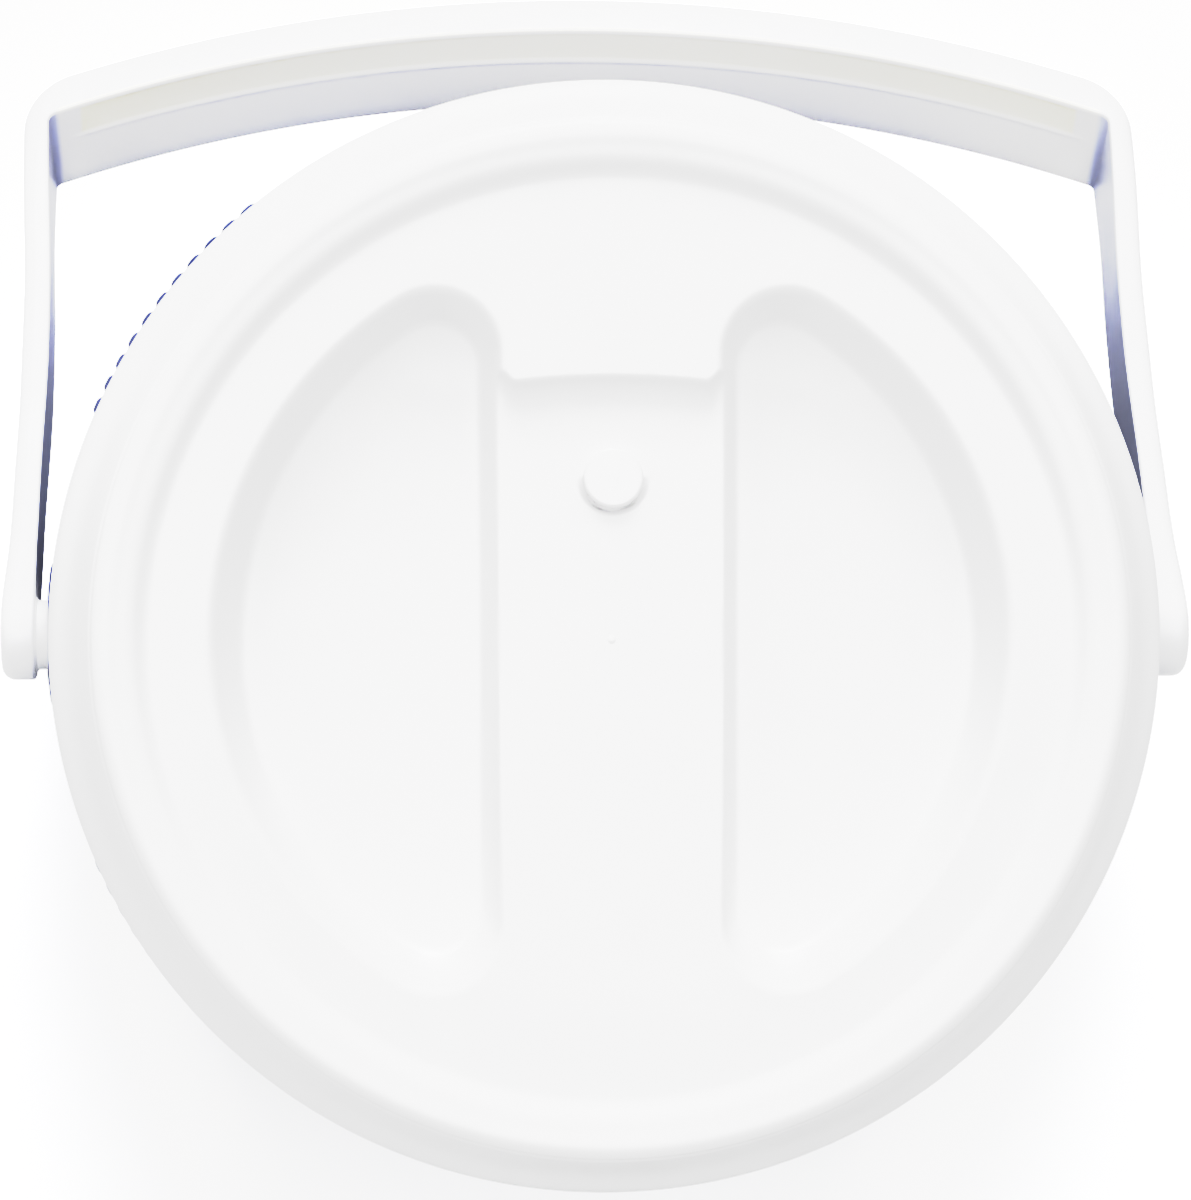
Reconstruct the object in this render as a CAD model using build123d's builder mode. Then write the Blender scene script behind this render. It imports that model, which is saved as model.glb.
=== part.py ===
from build123d import *
import math
import os

# Round double-walled wash bucket with a screw lid and a swing bail.
# Millimetres. +Z up, origin on the body axis in the plane of the base,
# X along the bail's pivot axis, +Y towards the back, where the bail rests.

# ---------------------------------------------------------------- dimensions
HEIGHT = 352.0            # base to the crest of the lid

# body
BODY_R_MAX = 135.0        # widest radius of the barrel-shaped wall
BODY_Z_MAX = 155.0        # height of the widest point
BODY_TOP_Z = 313.2        # shoulder under the lid
BODY_TOP_R = 129.6
BODY_BASE_R = 129.9
SHELL_T = 2.4
SHOULDER_BORE_R = 112.3
BASE_FILLET = 11.0

# vertical ribs, in four panels between the pivots and the smooth front and back
RIB_PITCH = 2.573         # degrees
RIB_COUNT = 11            # per panel
RIB_MID = 37.5            # degrees from the pivot axis to the middle of a panel
RIB_ARC = 1.75            # degrees covered by one rib
RIB_PROUD = 0.7
RIB_Z0, RIB_Z1 = 24.0, 305.0

# liner and neck
MOUTH_R = 98.0
FLOOR_R = 92.0
FLOOR_Z = 24.0
LINER_T = 2.2
NECK_R = 114.5
NECK_TOP_Z = 336.0
FOOT_R = 118.5
FOOT_T = 2.0

# four-start thread
LEAD = 40.0
STARTS = 4
NECK_RIDGE_R = 116.9
LID_RIDGE_R = 115.1
RIDGE_BASE_H = 3.2
RIDGE_TIP_H = 1.6
NECK_RIDGE_Z = 320.6      # middle of the ridge at its start
NECK_RIDGE_DEG = 82.0
LID_RIDGE_DEG = 55.0
RIDGE_DROP = 2.8          # lid ridge under the neck ridge
LID_RIDGE_START = 14.0    # degrees past the neck ridge's start
THREAD_TURN = 7.0         # bearing of the first start

# lid
LAND_Z = 348.0            # flat land inside the raised ring
LID_EDGE_Z = 314.5
LID_T = 2.4
POCKET_FLOOR_Z = 330.0
POCKET_R_TOP, POCKET_R_FLOOR = 92.0, 83.5
BAR_HALF_TOP, BAR_HALF_FLOOR = 25.0, 28.0
POCKET_FILLET_TOP, POCKET_FILLET_FLOOR = 14.0, 10.0
STEP_Y = 58.0             # step at the back end of the grip bar
BAR_LOW_Z = 343.2         # lowest level of the bar, in front of the step
BAR_END_Y = -86.0         # the bar rises to the land here
PLUG_Y = 36.5
PLUG_R = 6.9
PLUG_TOP_Z = 346.8
PAN_Z = 318.0
PAN_R = 96.4
PAN_T = 2.2
PAN_FLANGE_Z = 339.0
PAN_SKIRT_R = 117.5
PAN_SKIRT_T = 1.9
PAN_SKIRT_Z = 317.2
GASKET_R0, GASKET_R1 = 100.0, 113.0
GASKET_Z0, GASKET_Z1 = 336.2, 338.9

# bail
PIVOT_Z = 283.5
DROOP = 35.7              # degrees below horizontal at rest
BAIL_HALF = 142.2         # outer faces of the round ends
BAIL_SHIFT = -0.5         # the bail has side play and lies this far to the left
# outer and inner faces of the arms: (distance from the middle, distance from the pivot)
ARM_OUT = [(142.2, 0.0), (141.0, 20.0), (140.45, 40.0), (139.95, 60.0), (139.95, 80.0), (140.08, 100.0),
           (140.93, 120.0), (141.8, 140.0)]
ARM_IN = [(134.5, 0.0), (134.1, 24.0), (133.95, 42.0), (133.66, 54.0), (133.27, 73.0), (133.42, 90.0),
          (133.8, 105.0), (134.7, 125.0), (135.15, 139.0)]
ARM_TOP_IN = 135.3        # inner face at the grip
DISC_IN = 134.1           # inner faces of the round ends
DISC_R = 10.7
GRIP_W = 28.0
GRIP_OUT_MID, GRIP_OUT_R = 192.6, 337.0
GRIP_IN_MID, GRIP_IN_R = 178.9, 335.3
CORNER_OUT, CORNER_IN = 19.0, 3.0
GROOVE_DEPTH = 0.8
GROOVE_T0, GROOVE_T1 = 3.0, 12.6
BOSS_R = 8.3
BOSS_END = 128.6
TRUNNION_R = 5.0
TRUNNION_END = 119.9

# pivot bushes
PAD_R = 17.0
PAD_X = 131.7
BUSH_FLANGE_R = 12.0
BUSH_FLANGE_T = 1.4
BUSH_R = 10.4
BUSH_MOUTH_R = 8.7
BUSH_BORE_R = 5.06
BUSH_STEP_X = 127.7
BUSH_END_X = 117.0

# base plug
BASE_PLUG_Y = 55.0
BASE_PLUG_R = 9.0

os.makedirs("parts", exist_ok=True)

C = math.cos(math.radians(DROOP))
S = math.sin(math.radians(DROOP))


def polar_plane(deg):
    """Vertical half-plane through Z at the given bearing."""
    a = math.radians(deg)
    return Plane(origin=(0, 0, 0), x_dir=(math.cos(a), math.sin(a), 0),
                 z_dir=(math.sin(a), -math.cos(a), 0))


# ---------------------------------------------------------------- body
# one vertical rib, following the barrel
with BuildPart() as rib:
    with BuildSketch(polar_plane(-RIB_ARC / 2)):
        with BuildLine():
            ThreePointArc((130.35, RIB_Z0), (BODY_R_MAX - 1.2, BODY_Z_MAX), (128.9, RIB_Z1))
            Line((128.9, RIB_Z1), (130.25, RIB_Z1))
            Line((130.25, RIB_Z1), (131.15, RIB_Z1 - 6))
            ThreePointArc((131.15, RIB_Z1 - 6), (BODY_R_MAX + RIB_PROUD, BODY_Z_MAX), (132.4, RIB_Z0 + 6))
            Line((132.4, RIB_Z0 + 6), (131.0, RIB_Z0))
            Line((131.0, RIB_Z0), (130.35, RIB_Z0))
        make_face()
    revolve(axis=Axis.Z, revolution_arc=RIB_ARC)

rib_angles = []
for base in (RIB_MID, 180 - RIB_MID, 180 + RIB_MID, 360 - RIB_MID):
    for i in range(RIB_COUNT):
        rib_angles.append(base + (i - (RIB_COUNT - 1) / 2) * RIB_PITCH)

# outer shell: barrel wall, shoulder and base in one piece
with BuildPart() as outer_shell:
    with BuildSketch(Plane.XZ):
        with BuildLine():
            Polyline((0, BODY_TOP_Z), (0, 0), (BODY_BASE_R, 0))
            ThreePointArc((BODY_BASE_R, 0), (BODY_R_MAX, BODY_Z_MAX), (BODY_TOP_R, BODY_TOP_Z))
            Line((BODY_TOP_R, BODY_TOP_Z), (0, BODY_TOP_Z))
        make_face()
    revolve(axis=Axis.Z)
    fillet(outer_shell.edges().filter_by(GeomType.CIRCLE).group_by(Axis.Z)[0], BASE_FILLET)
    fillet(outer_shell.edges().filter_by(GeomType.CIRCLE).group_by(Axis.Z)[-1], 1.6)
    # round pads at the pivots
    with BuildSketch(Plane.YZ.offset(118)):
        with Locations((0, PIVOT_Z)):
            Circle(PAD_R)
    extrude(amount=PAD_X - 118)
    with BuildSketch(Plane.YZ.offset(-PAD_X)):
        with Locations((0, PIVOT_Z)):
            Circle(PAD_R)
    extrude(amount=PAD_X - 118)
    with Locations(*[Location((0, 0, 0), (0, 0, a)) for a in rib_angles]):
        add(rib.part)
    # inside of the shell
    with BuildSketch(Plane.XZ) as shell_in:
        with BuildLine():
            Polyline((0, BODY_TOP_Z - SHELL_T), (0, SHELL_T), (BODY_BASE_R - SHELL_T, SHELL_T))
            ThreePointArc((BODY_BASE_R - SHELL_T, SHELL_T), (BODY_R_MAX - SHELL_T, BODY_Z_MAX),
                          (BODY_TOP_R - SHELL_T, BODY_TOP_Z - SHELL_T))
            Line((BODY_TOP_R - SHELL_T, BODY_TOP_Z - SHELL_T), (0, BODY_TOP_Z - SHELL_T))
        make_face()
        fillet(shell_in.vertices().sort_by_distance((BODY_BASE_R - SHELL_T, SHELL_T, 0))[0],
               BASE_FILLET - SHELL_T)
    revolve(axis=Axis.Z, mode=Mode.SUBTRACT)
    with BuildSketch(Plane.XY.offset(BODY_TOP_Z - 6)):
        Circle(SHOULDER_BORE_R)
    extrude(amount=10, mode=Mode.SUBTRACT)
    # flange seat and hole for each pivot bush
    for side in (1, -1):
        with BuildSketch(Plane.YZ.offset(side * (PAD_X - BUSH_FLANGE_T))):
            with Locations((0, PIVOT_Z)):
                Circle(BUSH_FLANGE_R)
        extrude(amount=side * 6, mode=Mode.SUBTRACT)
        with BuildSketch(Plane.YZ.offset(side * 110)):
            with Locations((0, PIVOT_Z)):
                Circle(BUSH_R)
        extrude(amount=side * 30, mode=Mode.SUBTRACT)
    # shallow ring in the base and the filling hole
    with BuildSketch(Plane.XY):
        Circle(103)
        Circle(97, mode=Mode.SUBTRACT)
    extrude(amount=1.0, mode=Mode.SUBTRACT)
    with BuildSketch(Plane.XY.offset(-1)):
        with Locations((0, BASE_PLUG_Y)):
            Circle(BASE_PLUG_R)
    extrude(amount=8, mode=Mode.SUBTRACT)
outer_shell.part.label = "outer_shell"
export_step(outer_shell.part, "parts/outer_shell.step")

# inner liner: cup, rolled-over neck with the outside thread, and foot flange
with BuildPart() as neck_ridge:
    with BuildLine() as ridge_path:
        Helix(pitch=LEAD, height=LEAD * NECK_RIDGE_DEG / 360, radius=NECK_R,
              center=(0, 0, NECK_RIDGE_Z))
    with BuildSketch(Plane(origin=ridge_path.line @ 0, x_dir=(1, 0, 0), z_dir=ridge_path.line % 0)):
        with BuildLine():
            Polyline((-0.7, -RIDGE_BASE_H / 2), (0, -RIDGE_BASE_H / 2),
                     (NECK_RIDGE_R - NECK_R, -RIDGE_TIP_H / 2),
                     (NECK_RIDGE_R - NECK_R, RIDGE_TIP_H / 2),
                     (0, RIDGE_BASE_H / 2), (-0.7, RIDGE_BASE_H / 2), close=True)
        make_face()
    sweep(path=ridge_path.line, is_frenet=True)

with BuildPart() as inner_liner:
    with BuildSketch(Plane.XZ) as liner_sec:
        with BuildLine():
            Polyline((0, FLOOR_Z), (FLOOR_R, FLOOR_Z), (MOUTH_R, NECK_TOP_Z), (NECK_R, NECK_TOP_Z),
                     (NECK_R, BODY_TOP_Z + FOOT_T), (FOOT_R, BODY_TOP_Z + FOOT_T), (FOOT_R, BODY_TOP_Z),
                     (SHOULDER_BORE_R, BODY_TOP_Z), (SHOULDER_BORE_R, NECK_TOP_Z - LINER_T),
                     (MOUTH_R + LINER_T, NECK_TOP_Z - LINER_T), (FLOOR_R + LINER_T, FLOOR_Z - LINER_T),
                     (0, FLOOR_Z - LINER_T), close=True)
        make_face()
        fillet(liner_sec.vertices().sort_by_distance((FLOOR_R, FLOOR_Z, 0))[0], 12)
        fillet(liner_sec.vertices().sort_by_distance((FLOOR_R + LINER_T, FLOOR_Z - LINER_T, 0))[0], 14)
        fillet(liner_sec.vertices().sort_by_distance((MOUTH_R, NECK_TOP_Z, 0))[0], 1.0)
        fillet(liner_sec.vertices().sort_by_distance((NECK_R, NECK_TOP_Z, 0))[0], 1.0)
    revolve(axis=Axis.Z)
    with Locations(*[Location((0, 0, 0), (0, 0, THREAD_TURN + 360 * k / STARTS)) for k in range(STARTS)]):
        add(neck_ridge.part)
inner_liner.part.label = "inner_liner"
export_step(inner_liner.part, "parts/inner_liner.step")

# foam between shell and liner
with BuildPart() as body_foam:
    with BuildSketch(Plane.XZ) as foam_out:
        with BuildLine():
            Polyline((0, BODY_TOP_Z - SHELL_T), (0, SHELL_T), (BODY_BASE_R - SHELL_T, SHELL_T))
            ThreePointArc((BODY_BASE_R - SHELL_T, SHELL_T), (BODY_R_MAX - SHELL_T, BODY_Z_MAX),
                          (BODY_TOP_R - SHELL_T, BODY_TOP_Z - SHELL_T))
            Line((BODY_TOP_R - SHELL_T, BODY_TOP_Z - SHELL_T), (0, BODY_TOP_Z - SHELL_T))
        make_face()
        fillet(foam_out.vertices().sort_by_distance((BODY_BASE_R - SHELL_T, SHELL_T, 0))[0],
               BASE_FILLET - SHELL_T)
    revolve(axis=Axis.Z)
    with BuildSketch(Plane.XY.offset(BODY_TOP_Z - SHELL_T - 2)):
        Circle(SHOULDER_BORE_R)
    extrude(amount=NECK_TOP_Z - LINER_T - (BODY_TOP_Z - SHELL_T - 2))
    with BuildSketch(Plane.XZ) as liner_out:
        with BuildLine():
            Polyline((0, NECK_TOP_Z), (0, FLOOR_Z - LINER_T), (FLOOR_R + LINER_T, FLOOR_Z - LINER_T),
                     (MOUTH_R + LINER_T, NECK_TOP_Z - LINER_T), (MOUTH_R + LINER_T, NECK_TOP_Z), close=True)
        make_face()
        fillet(liner_out.vertices().sort_by_distance((FLOOR_R + LINER_T, FLOOR_Z - LINER_T, 0))[0], 14)
    revolve(axis=Axis.Z, mode=Mode.SUBTRACT)
    for side in (1, -1):
        with BuildSketch(Plane.YZ.offset(side * BUSH_END_X)):
            with Locations((0, PIVOT_Z)):
                Circle(BUSH_R)
        extrude(amount=side * 30, mode=Mode.SUBTRACT)
        with BuildSketch(Plane.YZ.offset(side * 118)):
            with Locations((0, PIVOT_Z)):
                Circle(PAD_R)
        extrude(amount=side * 30, mode=Mode.SUBTRACT)
    with BuildSketch(Plane.XY):
        with Locations((0, BASE_PLUG_Y)):
            Circle(BASE_PLUG_R)
    extrude(amount=12, mode=Mode.SUBTRACT)
body_foam.part.label = "body_foam"
export_step(body_foam.part, "parts/body_foam.step")

# plug in the base
with BuildPart() as base_fill_plug:
    with BuildSketch(Plane.XY.offset(0.6)):
        with Locations((0, BASE_PLUG_Y)):
            Circle(BASE_PLUG_R)
    extrude(amount=11.4)
    fillet(base_fill_plug.edges().group_by(Axis.Z)[0], 0.6)
base_fill_plug.part.label = "base_fill_plug"
export_step(base_fill_plug.part, "parts/base_fill_plug.step")


# pivot bushes: flanged blind cups with a wide mouth for the bail's boss
def bush_plane(side, x):
    return Plane(origin=(side * x, 0, PIVOT_Z), x_dir=(0, side, 0), z_dir=(side, 0, 0))


with BuildPart() as pivot_bush_right:
    with BuildSketch(bush_plane(1, BUSH_END_X)):
        Circle(BUSH_R)
    extrude(amount=PAD_X - BUSH_END_X)
    with BuildSketch(bush_plane(1, PAD_X - BUSH_FLANGE_T)):
        Circle(BUSH_FLANGE_R)
    extrude(amount=BUSH_FLANGE_T)
    with BuildSketch(bush_plane(1, BUSH_STEP_X)):
        Circle(BUSH_MOUTH_R)
    extrude(amount=10, mode=Mode.SUBTRACT)
    with BuildSketch(bush_plane(1, BUSH_END_X + 1.8)):
        Circle(BUSH_BORE_R)
    extrude(amount=20, mode=Mode.SUBTRACT)
pivot_bush_right.part.label = "pivot_bush_right"
export_step(pivot_bush_right.part, "parts/pivot_bush_right.step")

with BuildPart() as pivot_bush_left:
    with BuildSketch(bush_plane(-1, BUSH_END_X)):
        Circle(BUSH_R)
    extrude(amount=PAD_X - BUSH_END_X)
    with BuildSketch(bush_plane(-1, PAD_X - BUSH_FLANGE_T)):
        Circle(BUSH_FLANGE_R)
    extrude(amount=BUSH_FLANGE_T)
    with BuildSketch(bush_plane(-1, BUSH_STEP_X)):
        Circle(BUSH_MOUTH_R)
    extrude(amount=10, mode=Mode.SUBTRACT)
    with BuildSketch(bush_plane(-1, BUSH_END_X + 1.8)):
        Circle(BUSH_BORE_R)
    extrude(amount=20, mode=Mode.SUBTRACT)
pivot_bush_left.part.label = "pivot_bush_left"
export_step(pivot_bush_left.part, "parts/pivot_bush_left.step")

# ---------------------------------------------------------------- bail
# drawn in its own plane: X across, U along the arms, T across the strap
bail_plane = Plane(origin=(BAIL_SHIFT, 0, PIVOT_Z), x_dir=(1, 0, 0), z_dir=(0, S, C))
side_plane = Plane(origin=(-165, 0, PIVOT_Z), x_dir=(0, C, -S), z_dir=(1, 0, 0))


def on_arc(mid, radius, x):
    return mid - radius + math.sqrt(radius ** 2 - x ** 2)


u_out = on_arc(GRIP_OUT_MID, GRIP_OUT_R, BAIL_HALF)
u_in = on_arc(GRIP_IN_MID, GRIP_IN_R, ARM_TOP_IN)


def bail_end(side, x):
    """Plane square to the pivot axis, this far out along one side of the bail."""
    return Plane(origin=(BAIL_SHIFT + side * x, 0, PIVOT_Z), x_dir=(0, side, 0), z_dir=(side, 0, 0))


def mirrored(points):
    return [(-x, u) for x, u in points]


with BuildPart() as bail_handle:
    with BuildSketch(bail_plane) as strap:
        with BuildLine():
            Polyline((-ARM_IN[0][0], 0), (-ARM_IN[0][0], -12), (-BAIL_HALF, -12), (-BAIL_HALF, 0))
            Spline(*mirrored(ARM_OUT), (-BAIL_HALF, u_out), tangents=[(0, 1), (0, 1)])
            ThreePointArc((-BAIL_HALF, u_out), (0, GRIP_OUT_MID), (BAIL_HALF, u_out))
            Spline((BAIL_HALF, u_out), *ARM_OUT[::-1], tangents=[(0, -1), (0, -1)])
            Polyline((BAIL_HALF, 0), (BAIL_HALF, -12), (ARM_IN[0][0], -12), (ARM_IN[0][0], 0))
            Spline(*ARM_IN, (ARM_TOP_IN, u_in), tangents=[(0, 1), (0, 1)])
            ThreePointArc((ARM_TOP_IN, u_in), (0, GRIP_IN_MID), (-ARM_TOP_IN, u_in))
            Spline((-ARM_TOP_IN, u_in), *mirrored(ARM_IN)[::-1], tangents=[(0, -1), (0, -1)])
        make_face()
    extrude(amount=GRIP_W / 2, both=True)
    with BuildSketch(side_plane):
        with BuildLine():
            Polyline((0, DISC_R), (30, 10.9), (138, GRIP_W / 2), (200, GRIP_W / 2), (200, -GRIP_W / 2),
                     (138, -GRIP_W / 2), (30, -10.9), (0, -DISC_R))
            ThreePointArc((0, -DISC_R), (-DISC_R, 0), (0, DISC_R))
        make_face()
    extrude(amount=330, mode=Mode.INTERSECT)
    along_t = bail_handle.edges().filter_by(Axis((0, 0, 0), (0, S, C)))
    outer_c = [e for e in along_t if abs(abs(e.center().X - BAIL_SHIFT) - BAIL_HALF) < 0.5
               and e.center().Y > 100]
    fillet(outer_c, CORNER_OUT)
    along_t = bail_handle.edges().filter_by(Axis((0, 0, 0), (0, S, C)))
    inner_c = [e for e in along_t if abs(abs(e.center().X - BAIL_SHIFT) - ARM_TOP_IN) < 0.5
               and e.center().Y > 100]
    fillet(inner_c, CORNER_IN)
    # shallow groove under the grip
    with BuildSketch(bail_plane.offset(GROOVE_T0)):
        with BuildLine():
            ThreePointArc((-128, on_arc(GRIP_IN_MID, GRIP_IN_R, 128) - 2),
                          (0, GRIP_IN_MID - 2),
                          (128, on_arc(GRIP_IN_MID, GRIP_IN_R, 128) - 2))
            Line((128, on_arc(GRIP_IN_MID, GRIP_IN_R, 128) - 2),
                 (128, on_arc(GRIP_IN_MID, GRIP_IN_R, 128) + GROOVE_DEPTH))
            ThreePointArc((128, on_arc(GRIP_IN_MID, GRIP_IN_R, 128) + GROOVE_DEPTH),
                          (0, GRIP_IN_MID + GROOVE_DEPTH),
                          (-128, on_arc(GRIP_IN_MID, GRIP_IN_R, 128) + GROOVE_DEPTH))
            Line((-128, on_arc(GRIP_IN_MID, GRIP_IN_R, 128) + GROOVE_DEPTH),
                 (-128, on_arc(GRIP_IN_MID, GRIP_IN_R, 128) - 2))
        make_face()
    extrude(amount=GROOVE_T1 - GROOVE_T0, mode=Mode.SUBTRACT)
    # round ends, bosses and trunnions
    for side in (1, -1):
        with BuildSketch(bail_end(side, DISC_IN)):
            Circle(DISC_R)
        extrude(amount=BAIL_HALF - DISC_IN)
        with BuildSketch(bail_end(side, BOSS_END)):
            Circle(BOSS_R)
        extrude(amount=DISC_IN - BOSS_END + 0.5)
        with BuildSketch(bail_end(side, TRUNNION_END)):
            Circle(TRUNNION_R)
        extrude(amount=BOSS_END - TRUNNION_END + 0.5)
bail_handle.part.label = "bail_handle"
export_step(bail_handle.part, "parts/bail_handle.step")


# ---------------------------------------------------------------- lid
# outer form of the lid: land, raised ring, flared skirt
def lid_outer_points():
    return [(118.6, 350.4), (119.8, 347.0), (121.0, 343.0), (122.3, 338.0), (123.6, 334.0),
            (125.6, 330.0), (128.0, 327.0), (129.2, 324.0), (129.55, 320.0)]


def lid_inner_points():
    return [(117.4, 347.2), (118.9, 342.4), (120.2, 337.4), (121.6, 332.8), (123.6, 328.6),
            (125.6, 326.0), (126.9, 323.4), (127.3, 320.0)]


def pocket(z_top, r_top, x_top, f_top, z_low, r_low, x_low, f_low):
    """D-shaped pocket on the +X side, closed solid."""
    def d_face(z, r, x, f):
        y = math.sqrt(r * r - x * x)
        with BuildSketch(Plane.XY.offset(z)) as sk:
            with BuildLine():
                ThreePointArc((x, -y), (r, 0), (x, y))
                Line((x, y), (x, -y))
            make_face()
            fillet(sk.vertices(), f)
        return sk.sketch.faces()[0]
    with BuildPart() as p:
        loft([d_face(z_low, r_low, x_low, f_low), d_face(z_top, r_top, x_top, f_top)])
    return p.part


def taper(v_top, v_low, z):
    """Value of a pocket dimension carried on to height z."""
    return v_top + (v_low - v_top) * (LAND_Z - z) / (LAND_Z - POCKET_FLOOR_Z)


Z_OVER = LAND_Z + 1.0
pocket_cut = pocket(Z_OVER, taper(POCKET_R_TOP, POCKET_R_FLOOR, Z_OVER),
                    taper(BAR_HALF_TOP, BAR_HALF_FLOOR, Z_OVER), POCKET_FILLET_TOP,
                    POCKET_FLOOR_Z, POCKET_R_FLOOR, BAR_HALF_FLOOR, POCKET_FILLET_FLOOR)
WALL = 2.3
Z_IN = LAND_Z - LID_T + 1.0
pocket_wall = pocket(Z_IN, taper(POCKET_R_TOP, POCKET_R_FLOOR, Z_IN) + WALL,
                     taper(BAR_HALF_TOP, BAR_HALF_FLOOR, Z_IN) - WALL, POCKET_FILLET_TOP + WALL,
                     POCKET_FLOOR_Z - LID_T, POCKET_R_FLOOR + WALL, BAR_HALF_FLOOR - WALL,
                     POCKET_FILLET_FLOOR + WALL)


def bar_cut(drop, grow, half, z_top):
    """Sloping relief along the top of the grip bar, with the step at its back end."""
    with BuildPart() as p:
        with BuildSketch(Plane.YZ.offset(-half)):
            with BuildLine():
                Polyline((BAR_END_Y, LAND_Z - drop), (44, BAR_LOW_Z - drop), (50, BAR_LOW_Z + 0.1 - drop))
                Spline((50, BAR_LOW_Z + 0.1 - drop), (55.5 + grow, BAR_LOW_Z + 1.8 - drop),
                       (STEP_Y + grow, z_top))
                Polyline((STEP_Y + grow, z_top), (BAR_END_Y, z_top), (BAR_END_Y, LAND_Z - drop))
            make_face()
        extrude(amount=2 * half)
    return p.part


bar_relief = bar_cut(0.0, 0.0, 26.5, LAND_Z + 0.8)
bar_relief_wall = bar_cut(LID_T, WALL, 24.6, LAND_Z - LID_T + 0.8)

with BuildPart() as lid_shell:
    with BuildSketch(Plane.XZ):
        with BuildLine():
            Polyline((0, LID_EDGE_Z), (0, LAND_Z), (104.8, LAND_Z))
            Spline((104.8, LAND_Z), (107.6, 349.5), (110.2, 351.1), (115.2, HEIGHT), (117.4, 351.5),
                   *lid_outer_points(), (129.4, LID_EDGE_Z),
                   tangents=[(1, 0), (0, -1)])
            Line((129.4, LID_EDGE_Z), (0, LID_EDGE_Z))
        make_face()
    revolve(axis=Axis.Z)
    for m in (pocket_cut, mirror(pocket_cut, Plane.YZ, mode=Mode.PRIVATE)):
        add(m, mode=Mode.SUBTRACT)
    add(bar_relief, mode=Mode.SUBTRACT)
    with BuildPart(mode=Mode.PRIVATE) as lid_inside:
        with BuildSketch(Plane.XZ):
            with BuildLine():
                Polyline((0, LID_EDGE_Z - 1), (0, LAND_Z - LID_T), (109.0, LAND_Z - LID_T))
                Spline((109.0, LAND_Z - LID_T), (111.6, 347.2), (114.4, 349.2), (116.0, 349.0),
                       *lid_inner_points(), (127.2, LID_EDGE_Z), tangents=[(1, 0), (0, -1)])
                Polyline((127.2, LID_EDGE_Z), (127.2, LID_EDGE_Z - 1), (0, LID_EDGE_Z - 1))
            make_face()
        revolve(axis=Axis.Z)
        for m in (pocket_wall, mirror(pocket_wall, Plane.YZ, mode=Mode.PRIVATE)):
            add(m, mode=Mode.SUBTRACT)
        add(bar_relief_wall, mode=Mode.SUBTRACT)
    add(lid_inside.part, mode=Mode.SUBTRACT)
    # seat and hole for the fill plug
    with BuildSketch(Plane.XY.offset(BAR_LOW_Z)):
        with Locations((0, PLUG_Y)):
            Circle(PLUG_R + 0.05)
    extrude(amount=8, mode=Mode.SUBTRACT)
    with BuildSketch(Plane.XY.offset(BAR_LOW_Z - 8)):
        with Locations((0, PLUG_Y)):
            Circle(4.0)
    extrude(amount=12, mode=Mode.SUBTRACT)
lid_shell.part.label = "lid_shell"
export_step(lid_shell.part, "parts/lid_shell.step")

# lid pan: underside, plug into the mouth and the skirt with the inside thread
with BuildPart() as lid_ridge:
    with BuildLine() as lid_path:
        Helix(pitch=LEAD, height=LEAD * LID_RIDGE_DEG / 360, radius=PAN_SKIRT_R,
              center=(0, 0, NECK_RIDGE_Z + LEAD * LID_RIDGE_START / 360 - RIDGE_DROP))
    with BuildSketch(Plane(origin=lid_path.line @ 0, x_dir=(1, 0, 0), z_dir=lid_path.line % 0)):
        with BuildLine():
            Polyline((0.7, -RIDGE_BASE_H / 2), (0, -RIDGE_BASE_H / 2),
                     (LID_RIDGE_R - PAN_SKIRT_R, -RIDGE_TIP_H / 2),
                     (LID_RIDGE_R - PAN_SKIRT_R, RIDGE_TIP_H / 2),
                     (0, RIDGE_BASE_H / 2), (0.7, RIDGE_BASE_H / 2), close=True)
        make_face()
    sweep(path=lid_path.line, is_frenet=True)

with BuildPart() as lid_pan:
    with BuildSketch(Plane.XZ):
        with BuildLine():
            Polyline((0, PAN_Z), (PAN_R, PAN_Z), (PAN_R, PAN_FLANGE_Z), (PAN_SKIRT_R, PAN_FLANGE_Z),
                     (PAN_SKIRT_R, PAN_SKIRT_Z), (PAN_SKIRT_R + PAN_SKIRT_T, PAN_SKIRT_Z),
                     (PAN_SKIRT_R + PAN_SKIRT_T, 337.5), (118.3, PAN_FLANGE_Z + PAN_T),
                     (PAN_R - PAN_T, PAN_FLANGE_Z + PAN_T), (PAN_R - PAN_T, PAN_Z + PAN_T),
                     (0, PAN_Z + PAN_T), close=True)
        make_face()
    revolve(axis=Axis.Z)
    with Locations(*[Location((0, 0, 0), (0, 0, THREAD_TURN + LID_RIDGE_START + 360 * k / STARTS))
                     for k in range(STARTS)]):
        add(lid_ridge.part)
lid_pan.part.label = "lid_pan"
export_step(lid_pan.part, "parts/lid_pan.step")

# foam inside the lid
with BuildPart() as lid_foam:
    add(lid_inside.part)
    with BuildSketch(Plane.XZ):
        with BuildLine():
            Polyline((0, PAN_Z + PAN_T), (PAN_R - PAN_T, PAN_Z + PAN_T), (PAN_R - PAN_T, PAN_FLANGE_Z + PAN_T),
                     (140, PAN_FLANGE_Z + PAN_T), (140, 300), (0, 300), close=True)
        make_face()
    revolve(axis=Axis.Z, mode=Mode.SUBTRACT)
    with BuildSketch(Plane.XY.offset(BAR_LOW_Z - 8)):
        with Locations((0, PLUG_Y)):
            Circle(4.0)
    extrude(amount=12, mode=Mode.SUBTRACT)
lid_foam.part.label = "lid_foam"
export_step(lid_foam.part, "parts/lid_foam.step")

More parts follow.
